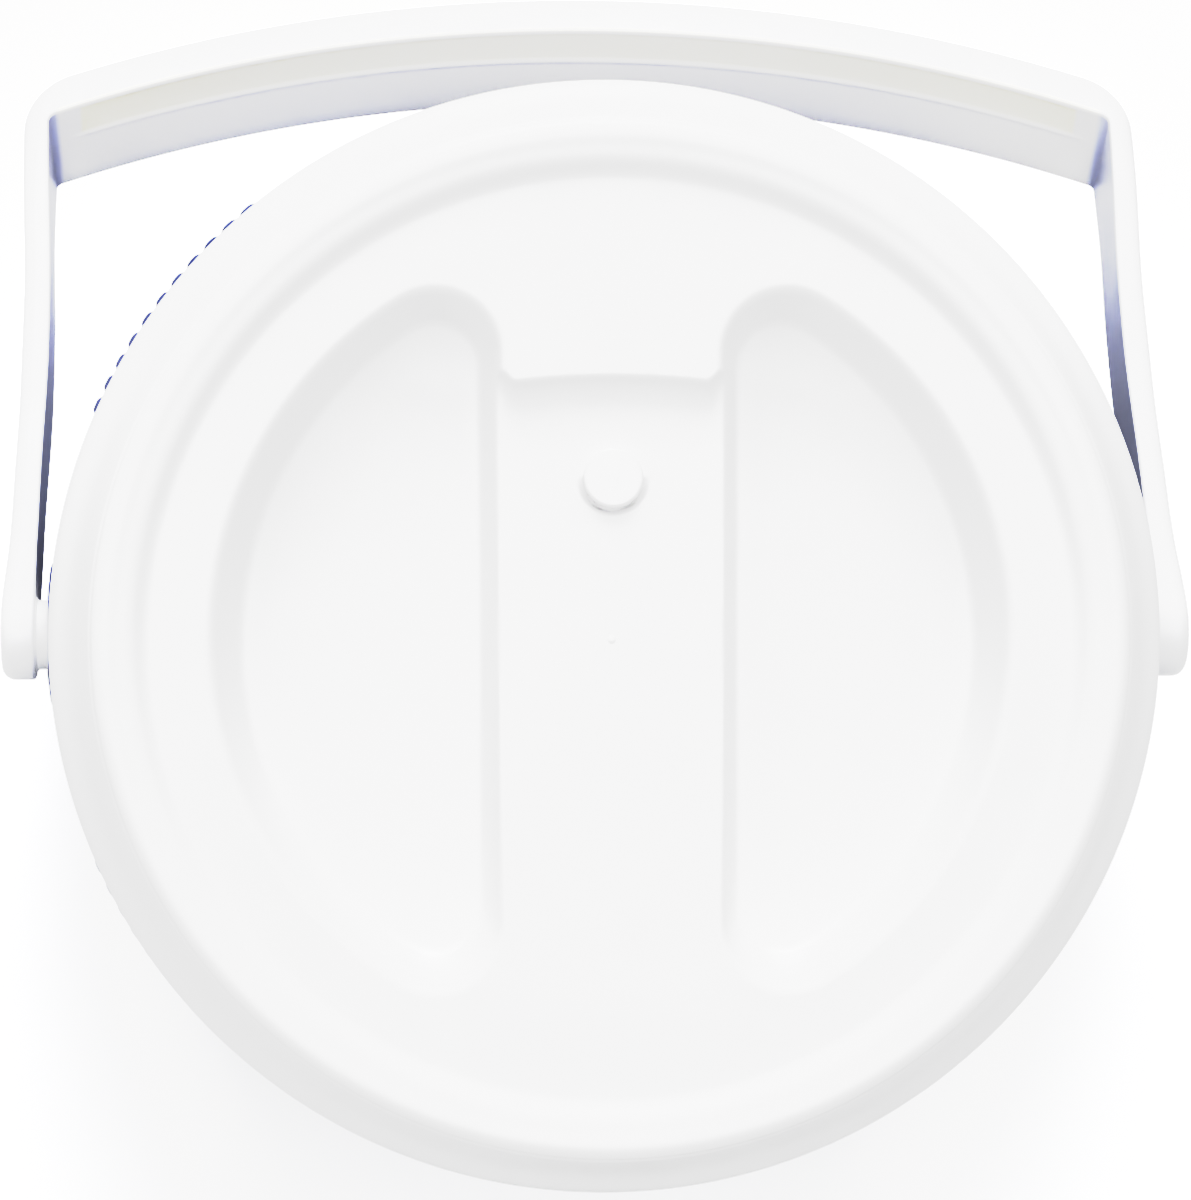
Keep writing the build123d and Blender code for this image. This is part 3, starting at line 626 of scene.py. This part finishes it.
def corner(table, mid, radius, fillet):
    """Circle that rounds the corner between an arm's face and the grip's arc: end of the arm, centre, first and last angle."""
    u, x = table
    du = np.gradient(x, u)
    n = np.sqrt(1 + du**2)
    ox, ou = x - fillet / n, u + fillet * du / n
    d = np.hypot(ox, ou - (mid - radius)) - (radius - fillet)
    i = int(np.where((d[:-1] < 0) & (d[1:] >= 0))[0][-1])
    t = -d[i] / (d[i + 1] - d[i])
    cx, cu = ox[i] + t * (ox[i + 1] - ox[i]), ou[i] + t * (ou[i + 1] - ou[i])
    ui = u[i] + t * (u[i + 1] - u[i])
    xi = float(np.interp(ui, u, x))
    return ui, (cx, cu), math.atan2(ui - cu, xi - cx), math.atan2(cu - (mid - radius), cx)


def bail_rows():
    """(outer point, inner point, groove weight) down the left half of the bail, from the pivot to the middle of the grip, in the bail's plane."""
    out_t = arm_curve(ARM_OUT, HALF, GRIP_OUT_MID, GRIP_OUT_R)
    in_t = arm_curve(ARM_IN, ARM_TOP_IN, GRIP_IN_MID, GRIP_IN_R)
    top_o, oc, oa0, oa1 = corner(out_t, GRIP_OUT_MID, GRIP_OUT_R, C_OUT)
    top_i, ic, ia0, ia1 = corner(in_t, GRIP_IN_MID, GRIP_IN_R, C_IN)
    rows = []
    us = [0.0, 2.0, 4.0, 6.0, 8.0, 10.0, 12.0, 14.0, 15.2, 16.0, 16.6, 17.2, 17.8, 18.6, 20.0, 24.0, 30.0]
    us += list(np.arange(36.0, 138.0, 6.0)) + [138.0, 142.0, 145.0]
    for u in us:
        uo = u if u <= 90 else u + (top_o - us[-1]) * smooth(90, us[-1], u)
        ui = u if u <= 90 else u + (top_i - us[-1]) * smooth(90, us[-1], u)
        x_out = float(np.interp(uo, *out_t))
        x_in = float(np.interp(ui, *in_t))
        x_in = x_in - (x_in - 134.15) * float(1 - smooth(15.6, 18.0, u))
        rows.append(((-x_out, uo), (-x_in, ui), 0.0))
    k = 14
    for i in range(1, k + 1):
        s = i / k
        ao, ai = oa0 + (oa1 - oa0) * s, ia0 + (ia1 - ia0) * s
        rows.append(((-oc[0] - C_OUT * math.cos(ao), oc[1] + C_OUT * math.sin(ao)),
                     (-ic[0] - C_IN * math.cos(ai), ic[1] + C_IN * math.sin(ai)), 0.0))
    xo0, xi0 = rows[-1][0][0], rows[-1][1][0]
    m = 44
    for i in range(1, m + 1):
        s = i / m
        # the inner point starts further out than the outer one and the two meet in the middle
        xo, xi = xo0 * (1 - s), xi0 * (1 - s)
        g = float(1 - smooth(126.6, 128.4, abs(xi)))
        rows.append(((xo, on_arc(GRIP_OUT_MID, GRIP_OUT_R, xo)), (xi, on_arc(GRIP_IN_MID, GRIP_IN_R, xi)), g))
    return rows


def half_width(u):
    if u < 30:
        return 10.7 + 0.2 * max(u, 0) / 30
    if u < 138:
        return 10.9 + (14.0 - 10.9) * (u - 30) / 108
    return 14.0


def section(thick, w, groove, ro_near, ro_far, ri):
    """Outline of the strap as (distance out from the inner face, across), counter-clockwise from the middle of the inner face."""
    n = 8
    pts = []
    ri = min(ri, 0.45 * thick)
    ron = min(ro_near, thick - ri - 0.05, w * 0.6)
    rof = min(ro_far, thick - ri - 0.05, w * 0.6)
    gd = 0.22 * groove
    g0, g1 = 3.0, min(12.6, w - ri - 0.25)
    # inner face, from the middle to the near edge
    pts.append((0.0, 0.0))
    pts.append((0.0, 0.9))
    pts.append((0.0, 1.5))
    pts.append((-0.07 * groove, 1.9))
    pts.append((-0.10 * groove, 2.35))
    pts.append((-0.07 * groove, 2.75))
    pts.append((0.1 * gd, g0 + 0.05))
    pts.append((0.8 * gd, g0 + 0.55))
    pts.append((gd, g0 + 1.1))
    pts.append((0.85 * gd, (g0 + g1) / 2))
    pts.append((0.45 * gd, g1 - 0.8))
    pts.append((0.35 * gd, g1 - 0.4))
    pts.append((0.05 * gd, g1 - 0.1))
    pts.append((0.0, g1 + 0.05))
    for a in np.linspace(0, math.pi / 2, n)[1:]:
        pts.append((ri - ri * math.cos(a), w - ri + ri * math.sin(a)))
    pts.append(((ri + thick - ron) / 2, w))
    for a in np.linspace(0, math.pi / 2, n + 3):
        pts.append((thick - ron + ron * math.sin(a), w - ron + ron * math.cos(a)))
    pts.append((thick, w * 0.3))
    pts.append((thick, 0.0))
    return pts


def section_far(thick, w, rof, ri):
    """The other half, from the middle of the outer face round the far edge to the middle of the inner face."""
    n = 8
    ri = min(ri, 0.45 * thick)
    ro = min(rof, thick - ri - 0.05, w * 0.6)
    pts = [(thick, -w * 0.3)]
    for a in np.linspace(0, math.pi / 2, n + 3):
        pts.append((thick - ro + ro * math.cos(a), -(w - ro) - ro * math.sin(a)))
    pts.append(((ri + thick - ro) / 2, -w))
    for a in np.linspace(0, math.pi / 2, n)[:-1]:
        pts.append((ri - ri * math.sin(a), -(w - ri) - ri * math.cos(a)))
    for t in (w - ri, w * 0.72, w * 0.45, w * 0.2, 1.5, 0.7):
        pts.append((0.0, -t))
    return pts


def to_world(x, u, t):
    x, u, t = np.broadcast_arrays(np.asarray(x, float), np.asarray(u, float), np.asarray(t, float))
    p = np.zeros(x.shape + (3,))
    p[..., 0] = x + BAIL_SHIFT
    p += u[..., None] * EU + t[..., None] * ET
    p[..., 2] += PIVOT_Z
    return p


def bail_strap():
    left = bail_rows()
    rows = left + [((-o[0], o[1]), (-q[0], q[1]), g) for o, q, g in left[:-1][::-1]]
    b = Build()
    ids = []
    ends = []
    total = len(rows)
    for k, (o, q, g) in enumerate(rows):
        o, q = np.array(o), np.array(q)
        thick = float(np.linalg.norm(o - q))
        nrm = (o - q) / thick
        u_mid = (o[1] + q[1]) / 2
        w = half_width(u_mid)
        grip = float(smooth(120, 165, u_mid))
        near = section(thick, w, g, 3.1 + 3.1 * grip, 0.0, 0.9)
        far = section_far(thick, w, 3.1 + 1.6 * grip, 0.9)
        pts = near + far
        a = np.array([p[0] for p in pts])
        t = np.array([p[1] for p in pts])
        # the grip's inner face leans outwards towards its near edge
        a = a + 0.66 * grip * (t / w) * (1 - a / thick)
        xy = q[None, :] + a[:, None] * nrm[None, :]
        ids.append(b.add(to_world(xy[:, 0], xy[:, 1], t)))
        if k in (0, total - 1):
            ends.append((q, nrm, thick, w, near, ids[-1]))
    ids = np.array(ids)
    faces = grid_faces(ids, wrap_j=True)
    ns = ids.shape[1]
    # round ends: the near half of the section turned about the pivot
    for which, (q, nrm, thick, w, near, row) in enumerate(ends):
        side = -1 if which == 0 else 1
        nn = len(near)
        x_of = [q[0] + p[0] * nrm[0] for p in near]
        steps = 20
        prev = [int(row[i]) for i in range(nn)]
        first, last = prev[0], prev[-1]
        # the far half holds the same points in the opposite order, so match them by distance
        far_ids = [int(i) for i in row[nn:]]
        fan = [prev]
        for s in range(1, steps):
            psi = math.pi * s / steps
            cur = []
            for i, p in enumerate(near):
                if i in (0, nn - 1):
                    cur.append(prev[i])
                    continue
                r = p[1]
                u, t = -r * math.sin(psi), r * math.cos(psi)
                cur.append(int(b.add(to_world(x_of[i], u, t))[0]))
            fan.append(cur)
        for k in range(len(fan) - 1):
            faces += grid_faces(np.array([fan[k], fan[k + 1]]), wrap_j=False, flip=False)
        # join the last fan row to the far half of the end section
        tail = fan[-1]
        far = [first] + far_ids[::-1] + [last]
        faces += stitch_open(b, tail, far)
    me = make_object("bail_strap", b.verts(), faces, sharp=40)
    return me


def stitch_open(b, p, q):
    """Faces between two open rows of ids that share both ends, matched by length along them."""
    V = b.verts()

    def par(ids):
        pts = V[ids]
        d = np.concatenate([[0], np.cumsum(np.linalg.norm(np.diff(pts, axis=0), axis=1))])
        return d / d[-1]

    tp, tq = par(p), par(q)
    faces, i, j = [], 0, 0
    while i < len(p) - 1 or j < len(q) - 1:
        if j >= len(q) - 1 or (i < len(p) - 1 and tp[i + 1] <= tq[j + 1]):
            f = [p[i], q[j], p[i + 1]]
            i += 1
        else:
            f = [p[i], q[j], q[j + 1]]
            j += 1
        if len(set(f)) == 3:
            faces.append(f)
    return faces


def bail_boss(side):
    """Boss and trunnion on the inner face of one arm."""
    prof = [(0.0, 119.9), (4.4, 119.9), (4.8, 120.05), (4.98, 120.5), (4.98, 128.0), (5.2, 128.55), (5.6, 128.62),
            (7.7, 128.62), (8.05, 128.7), (8.28, 129.1), (8.28, 133.2), (8.5, 133.75), (9.0, 133.98), (9.2, 134.6),
            (9.2, 136.5), (0.0, 136.5)]
    v, f = revolve(prof, 96, (BAIL_SHIFT, 0, PIVOT_Z), "X", side)
    return make_object("bail_boss_left" if side < 0 else "bail_boss_right", v, f, sharp=35)


# ------------------------------------------------------------------ materials
def new_material(name):
    m = bpy.data.materials.new(name)
    m.use_nodes = True
    nt = m.node_tree
    for n in list(nt.nodes):
        nt.nodes.remove(n)
    out = nt.nodes.new("ShaderNodeOutputMaterial")
    bsdf = nt.nodes.new("ShaderNodeBsdfPrincipled")
    nt.links.new(bsdf.outputs["BSDF"], out.inputs["Surface"])
    tc = nt.nodes.new("ShaderNodeTexCoord")
    return m, nt, bsdf, tc


def noise(nt, tc, scale, detail=3.0, rough=0.5, vector=None):
    n = nt.nodes.new("ShaderNodeTexNoise")
    n.inputs["Scale"].default_value = scale
    n.inputs["Detail"].default_value = detail
    n.inputs["Roughness"].default_value = rough
    nt.links.new(vector or tc.outputs["Object"], n.inputs["Vector"])
    return n


def ramp(nt, src, stops):
    r = nt.nodes.new("ShaderNodeValToRGB")
    e = r.color_ramp.elements
    e[0].position, e[0].color = stops[0][0], (*stops[0][1], 1)
    e[1].position, e[1].color = stops[-1][0], (*stops[-1][1], 1)
    for p, c in stops[1:-1]:
        k = e.new(p)
        k.color = (*c, 1)
    nt.links.new(src, r.inputs["Fac"])
    return r


def to_range(nt, src, lo, hi, a=0.3, z=0.7):
    m = nt.nodes.new("ShaderNodeMapRange")
    m.inputs["From Min"].default_value = a
    m.inputs["From Max"].default_value = z
    m.inputs["To Min"].default_value = lo
    m.inputs["To Max"].default_value = hi
    nt.links.new(src, m.inputs["Value"])
    return m


def math_node(nt, op, a, b=None):
    m = nt.nodes.new("ShaderNodeMath")
    m.operation = op
    for i, v in enumerate((a, b)):
        if v is None:
            continue
        if isinstance(v, (int, float)):
            m.inputs[i].default_value = v
        else:
            nt.links.new(v, m.inputs[i])
    return m.outputs[0]


def window(nt, src, lo, hi, edge):
    """1 between lo and hi, 0 outside, in metres."""
    up = to_range(nt, src, 0.0, 1.0, lo - edge, lo + edge).outputs["Result"]
    down = to_range(nt, src, 1.0, 0.0, hi - edge, hi + edge).outputs["Result"]
    return math_node(nt, "MULTIPLY", up, down)


def grip_painted_light_masks(nt, tc):
    """Masks of the grip's inner face and of the groove along it, from the bail's own coordinates, where painted light
    goes: the inner face is painted lighter and less blue, and the groove gets a painted cream band, in place of light
    falling on them.
    """
    sep = nt.nodes.new("ShaderNodeSeparateXYZ")
    nt.links.new(tc.outputs["Object"], sep.inputs[0])
    x, y, z = sep.outputs
    z = math_node(nt, "SUBTRACT", z, PIVOT_Z / 1000)
    sn, cs = math.sin(DROOP), math.cos(DROOP)
    t = math_node(nt, "ADD", math_node(nt, "MULTIPLY", y, sn), math_node(nt, "MULTIPLY", z, cs))
    u = math_node(nt, "SUBTRACT", math_node(nt, "MULTIPLY", y, cs), math_node(nt, "MULTIPLY", z, sn))
    x = math_node(nt, "SUBTRACT", x, BAIL_SHIFT / 1000)
    du = math_node(nt, "SUBTRACT", u, (GRIP_IN_MID - GRIP_IN_R) / 1000)
    rr = math_node(nt, "SQRT", math_node(nt, "ADD", math_node(nt, "MULTIPLY", x, x), math_node(nt, "MULTIPLY", du, du)))
    face = math_node(nt, "MULTIPLY", window(nt, rr, 0.30, GRIP_IN_R / 1000 + 0.0013, 0.0004),
                     window(nt, x, -0.1335, 0.1335, 0.0006))
    m = math_node(nt, "MULTIPLY", window(nt, t, 0.0033, 0.0127, 0.0003), window(nt, x, -0.1279, 0.1279, 0.0004))
    return face, math_node(nt, "MULTIPLY", m, window(nt, rr, 0.30, GRIP_IN_R / 1000 + 0.005, 0.0005))


def plastic(name, colour_lo, colour_hi, rough=(0.38, 0.5), grain=0.00002, ripple=0.00005, spec=0.45, sss=0.0,
            mottled=22.0, painted_light_tints=None):
    """Moulded plastic: cloudy colour, uneven satin, fine grain and a slow ripple in the surface."""
    m, nt, bsdf, tc = new_material(name)
    cloud = noise(nt, tc, mottled, 4.0, 0.55)
    col = ramp(nt, cloud.outputs["Fac"], [(0.32, colour_lo), (0.68, colour_hi)])
    colour = col.outputs["Color"]
    # painted light: a lighter, warmer colour over the grip's inner face and a cream band along its groove stand in for
    # light falling there
    if painted_light_tints:
        for mask, painted_tint in zip(grip_painted_light_masks(nt, tc), painted_light_tints):
            mix = nt.nodes.new("ShaderNodeMix")
            mix.data_type = "RGBA"
            nt.links.new(mask, mix.inputs["Factor"])
            nt.links.new(colour, mix.inputs[6])
            mix.inputs[7].default_value = (*painted_tint, 1.0)
            colour = mix.outputs[2]
    nt.links.new(colour, bsdf.inputs["Base Color"])
    smear = noise(nt, tc, 55.0, 2.0, 0.6)
    nt.links.new(to_range(nt, smear.outputs["Fac"], rough[0], rough[1]).outputs["Result"], bsdf.inputs["Roughness"])
    fine = noise(nt, tc, 2600.0, 2.0, 0.6)
    slow = noise(nt, tc, 38.0, 1.0, 0.4)
    b1 = nt.nodes.new("ShaderNodeBump")
    b1.inputs["Distance"].default_value = ripple
    b1.inputs["Strength"].default_value = 0.5
    nt.links.new(slow.outputs["Fac"], b1.inputs["Height"])
    b2 = nt.nodes.new("ShaderNodeBump")
    b2.inputs["Distance"].default_value = grain
    b2.inputs["Strength"].default_value = 0.35
    nt.links.new(fine.outputs["Fac"], b2.inputs["Height"])
    nt.links.new(b1.outputs["Normal"], b2.inputs["Normal"])
    nt.links.new(b2.outputs["Normal"], bsdf.inputs["Normal"])
    bsdf.inputs["Specular IOR Level"].default_value = spec
    if sss:
        bsdf.inputs["Subsurface Weight"].default_value = sss
        bsdf.inputs["Subsurface Radius"].default_value = (0.004, 0.0034, 0.0028)
        bsdf.inputs["Subsurface Scale"].default_value = 1.0
    return m


def foam_material(name):
    m, nt, bsdf, tc = new_material(name)
    cells = nt.nodes.new("ShaderNodeTexVoronoi")
    cells.inputs["Scale"].default_value = 420.0
    nt.links.new(tc.outputs["Object"], cells.inputs["Vector"])
    col = ramp(nt, cells.outputs["Distance"], [(0.05, (0.52, 0.40, 0.20)), (0.6, (0.78, 0.66, 0.40))])
    nt.links.new(col.outputs["Color"], bsdf.inputs["Base Color"])
    cloud = noise(nt, tc, 60.0, 3.0, 0.5)
    nt.links.new(to_range(nt, cloud.outputs["Fac"], 0.8, 0.95).outputs["Result"], bsdf.inputs["Roughness"])
    bump = nt.nodes.new("ShaderNodeBump")
    bump.inputs["Distance"].default_value = 0.0006
    bump.inputs["Strength"].default_value = 0.7
    nt.links.new(cells.outputs["Distance"], bump.inputs["Height"])
    nt.links.new(bump.outputs["Normal"], bsdf.inputs["Normal"])
    return m


def gasket_material(name):
    m, nt, bsdf, tc = new_material(name)
    cloud = noise(nt, tc, 180.0, 4.0, 0.6)
    col = ramp(nt, cloud.outputs["Fac"], [(0.3, (0.60, 0.60, 0.58)), (0.7, (0.72, 0.72, 0.70))])
    nt.links.new(col.outputs["Color"], bsdf.inputs["Base Color"])
    nt.links.new(to_range(nt, cloud.outputs["Fac"], 0.62, 0.78).outputs["Result"], bsdf.inputs["Roughness"])
    pores = nt.nodes.new("ShaderNodeTexVoronoi")
    pores.inputs["Scale"].default_value = 1100.0
    nt.links.new(tc.outputs["Object"], pores.inputs["Vector"])
    bump = nt.nodes.new("ShaderNodeBump")
    bump.inputs["Distance"].default_value = 0.00012
    bump.inputs["Strength"].default_value = 0.5
    nt.links.new(pores.outputs["Distance"], bump.inputs["Height"])
    nt.links.new(bump.outputs["Normal"], bsdf.inputs["Normal"])
    return m


MAT = {
    "lid_white": plastic("lid_white", (0.785, 0.785, 0.788), (0.805, 0.805, 0.805), (0.40, 0.50), 0.000018, 0.00006),
    "lid_plug_white": plastic("lid_plug_white", (0.79, 0.79, 0.792), (0.81, 0.81, 0.81), (0.26, 0.36), 0.00001, 0.00004),
    # the bail's two extra tints are painted light on the grip's inner face and along its groove
    "bail_white": plastic("bail_white", (0.80, 0.80, 0.803), (0.825, 0.825, 0.825), (0.34, 0.44), 0.000014, 0.00005,
                          painted_light_tints=((0.95, 0.93, 0.83), (0.97, 0.935, 0.74))),
    "bush_white": plastic("bush_white", (0.78, 0.78, 0.783), (0.80, 0.80, 0.80), (0.40, 0.50), 0.00001, 0.00003),
    "pan_white": plastic("pan_white", (0.83, 0.83, 0.835), (0.86, 0.86, 0.86), (0.40, 0.52), 0.000018, 0.00006),
    "liner_white": plastic("liner_white", (0.84, 0.845, 0.85), (0.87, 0.87, 0.87), (0.36, 0.48), 0.000016, 0.00009),
    "shell_blue": plastic("shell_blue", (0.019, 0.031, 0.116), (0.022, 0.035, 0.130), (0.42, 0.50), 0.00003, 0.0001,
                          spec=0.30, mottled=14.0),
    "plug_blue": plastic("plug_blue", (0.018, 0.030, 0.108), (0.021, 0.034, 0.124), (0.40, 0.55), 0.00003, 0.00006),
    "foam": foam_material("foam"),
    "gasket": gasket_material("gasket"),
}


def give(ob, slot):
    ob.data.materials.clear()
    ob.data.materials.append(MAT[slot])


def give_node(name, slot):
    ob = NODES[name]
    if ob.material_slots:
        for s in ob.material_slots:
            s.link = "OBJECT"
            s.material = MAT[slot]
    else:
        ob.data.materials.append(MAT[slot])


# ------------------------------------------------------------------ pieces
skin = lid_skin()
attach(skin, "lid")
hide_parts("lid_shell")
give(skin, "lid_white")

core = lid_core()
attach(core, "lid")
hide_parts("lid_foam")
give(core, "foam")

button = lid_button()
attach(button, "lid")
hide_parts("lid_fill_plug")
give(button, "lid_plug_white")

wall = body_skin()
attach(wall, "vessel")
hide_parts("outer_shell")
give(wall, "shell_blue")

strap = bail_strap()
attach(strap, "bail")
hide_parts("bail_handle")
give(strap, "bail_white")
for side in (-1, 1):
    boss = bail_boss(side)
    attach(boss, "bail")
    give(boss, "bail_white")

give_node("inner_liner", "liner_white")
give_node("body_foam", "foam")
give_node("base_fill_plug", "plug_blue")
give_node("pivot_bush_left", "bush_white")
give_node("pivot_bush_right", "bush_white")
give_node("lid_gasket", "gasket")
give_node("lid_pan", "pan_white")

# ------------------------------------------------------------------ floor
floor_me = bpy.data.meshes.new("floor")
S = 14.0
floor_me.from_pydata([(-S, -S, -0.0002), (S, -S, -0.0002), (S, S, -0.0002), (-S, S, -0.0002)], [], [(0, 1, 2, 3)])
floor = bpy.data.objects.new("floor", floor_me)
bpy.context.scene.collection.objects.link(floor)
fm = bpy.data.materials.new("floor_white")
fm.use_nodes = True
fnt = fm.node_tree
for n in list(fnt.nodes):
    fnt.nodes.remove(n)
fout = fnt.nodes.new("ShaderNodeOutputMaterial")
fdiff = fnt.nodes.new("ShaderNodeBsdfDiffuse")
# white paper that is exposed to clear white in the picture, and bounces as paper does
path = fnt.nodes.new("ShaderNodeLightPath")
gain = fnt.nodes.new("ShaderNodeMapRange")
gain.inputs["To Min"].default_value = 0.90
gain.inputs["To Max"].default_value = 2.05
fnt.links.new(path.outputs["Is Camera Ray"], gain.inputs["Value"])
fnt.links.new(gain.outputs["Result"], fdiff.inputs["Color"])
# it stays as pale further off, where the lamps don't reach, as paper that curves up behind does
ftc = fnt.nodes.new("ShaderNodeTexCoord")
far = fnt.nodes.new("ShaderNodeVectorMath")
far.operation = "LENGTH"
fnt.links.new(ftc.outputs["Object"], far.inputs[0])
rise = to_range(fnt, far.outputs["Value"], 0.0, 1.5, 0.45, 2.2)
glow = fnt.nodes.new("ShaderNodeEmission")
fnt.links.new(math_node(fnt, "MULTIPLY", rise.outputs["Result"], path.outputs["Is Camera Ray"]), glow.inputs["Strength"])
both = fnt.nodes.new("ShaderNodeAddShader")
fnt.links.new(fdiff.outputs[0], both.inputs[0])
fnt.links.new(glow.outputs[0], both.inputs[1])
fnt.links.new(both.outputs[0], fout.inputs["Surface"])
floor_me.materials.append(fm)

# ------------------------------------------------------------------ light
world = bpy.data.worlds.new("studio")
bpy.context.scene.world = world
world.use_nodes = True
bg = world.node_tree.nodes["Background"]
bg.inputs["Color"].default_value = (1.0, 1.0, 1.0, 1)
# pale behind the object, and all but dark as a light
wpath = world.node_tree.nodes.new("ShaderNodeLightPath")
wlevel = to_range(world.node_tree, wpath.outputs["Is Camera Ray"], 0.01, 1.6, 0.0, 1.0)
world.node_tree.links.new(wlevel.outputs["Result"], bg.inputs["Strength"])


def area(name, loc, target, sx, sy, power):
    li = bpy.data.lights.new(name, "AREA")
    li.shape = "RECTANGLE"
    li.size, li.size_y = sx, sy
    li.energy = power
    ob = bpy.data.objects.new(name, li)
    bpy.context.scene.collection.objects.link(ob)
    ob.location = loc
    ob.rotation_mode = "QUATERNION"
    ob.rotation_quaternion = (Vector(target) - Vector(loc)).to_track_quat("-Z", "Y")
    return ob


area("front_soft", (0.0, 0.2, 2.9), (0, 0, 0.35), 1.2, 1.2, 28.0)
area("left_soft", (-1.65, 0.12, 1.75), (0, 0, 0.3), 1.3, 1.3, 9.5)
area("right_soft", (1.65, 0.12, 1.75), (0, 0, 0.3), 1.3, 1.3, 5.0)
area("left_low", (-2.1, 0.1, 0.6), (0, 0, 0.28), 0.8, 1.3, 4.0)
area("under_soft", (0.3, -2.0, 0.75), (0, 0, 0.25), 1.6, 1.0, 4.0)
area("over_soft", (0.0, 1.9, 1.15), (0, 0, 0.3), 1.6, 0.9, 34.0)
area("over_high", (0.0, 1.35, 2.2), (0, 0, 0.3), 1.4, 0.9, 14.0)

# ------------------------------------------------------------------ camera
CAM = (-57.0123, 28.6221, 1469.4571)
RX, RY, RZ = 0.0174, 0.0474, 0.0027
FOCAL_PX = 4934.78


def rot(ax, a):
    c, s = math.cos(a), math.sin(a)
    return {"x": Matrix(((1, 0, 0), (0, c, -s), (0, s, c))),
            "y": Matrix(((c, 0, s), (0, 1, 0), (-s, 0, c))),
            "z": Matrix(((c, -s, 0), (s, c, 0), (0, 0, 1)))}[ax]


cam_data = bpy.data.cameras.new("camera")
cam = bpy.data.objects.new("camera", cam_data)
bpy.context.scene.collection.objects.link(cam)
R = rot("z", RZ) @ rot("y", RY) @ rot("x", RX)
cam.matrix_world = Matrix.Translation(Vector(CAM) * 0.001) @ R.transposed().to_4x4()
cam_data.sensor_width = 36.0
cam_data.sensor_fit = "AUTO"
cam_data.lens = FOCAL_PX * 36.0 / 1200.0
cam_data.clip_start, cam_data.clip_end = 0.05, 60.0
bpy.context.scene.camera = cam

view = bpy.context.scene.view_settings
view.view_transform = "Standard"
# soft shoulder, as a camera's own tone curve has
TONE = [(0.0, 0.0), (0.05, 0.15), (0.10, 0.27), (0.15, 0.41), (0.20, 0.55), (0.25, 0.72), (0.29, 0.835), (0.33, 0.882),
        (0.40, 0.903), (0.50, 0.914), (0.60, 0.925), (0.70, 0.937), (0.80, 0.951), (0.90, 0.962), (1.0, 0.967), (1.1, 0.970),
        (1.2, 0.972), (1.3, 0.98), (1.42, 0.993), (1.5, 1.0), (2.0, 1.0)]


def linear(d):
    """Scene value that the display's own curve shows at level d."""
    return ((d + 0.055) / 1.055) ** 2.4 if d > 0.04 else d / 12.92


view.use_curve_mapping = True
cm = view.curve_mapping
cm.white_level = (2.0, 2.0, 2.0)
crv = cm.curves[3]
while len(crv.points) > 2:
    crv.points.remove(crv.points[1])
crv.points[0].location = (0.0, 0.0)
crv.points[1].location = (1.0, 1.0)
for x, y in TONE[1:-1]:
    crv.points.new(x / 2.0, linear(y))
cm.update()

bpy.context.view_layer.update()
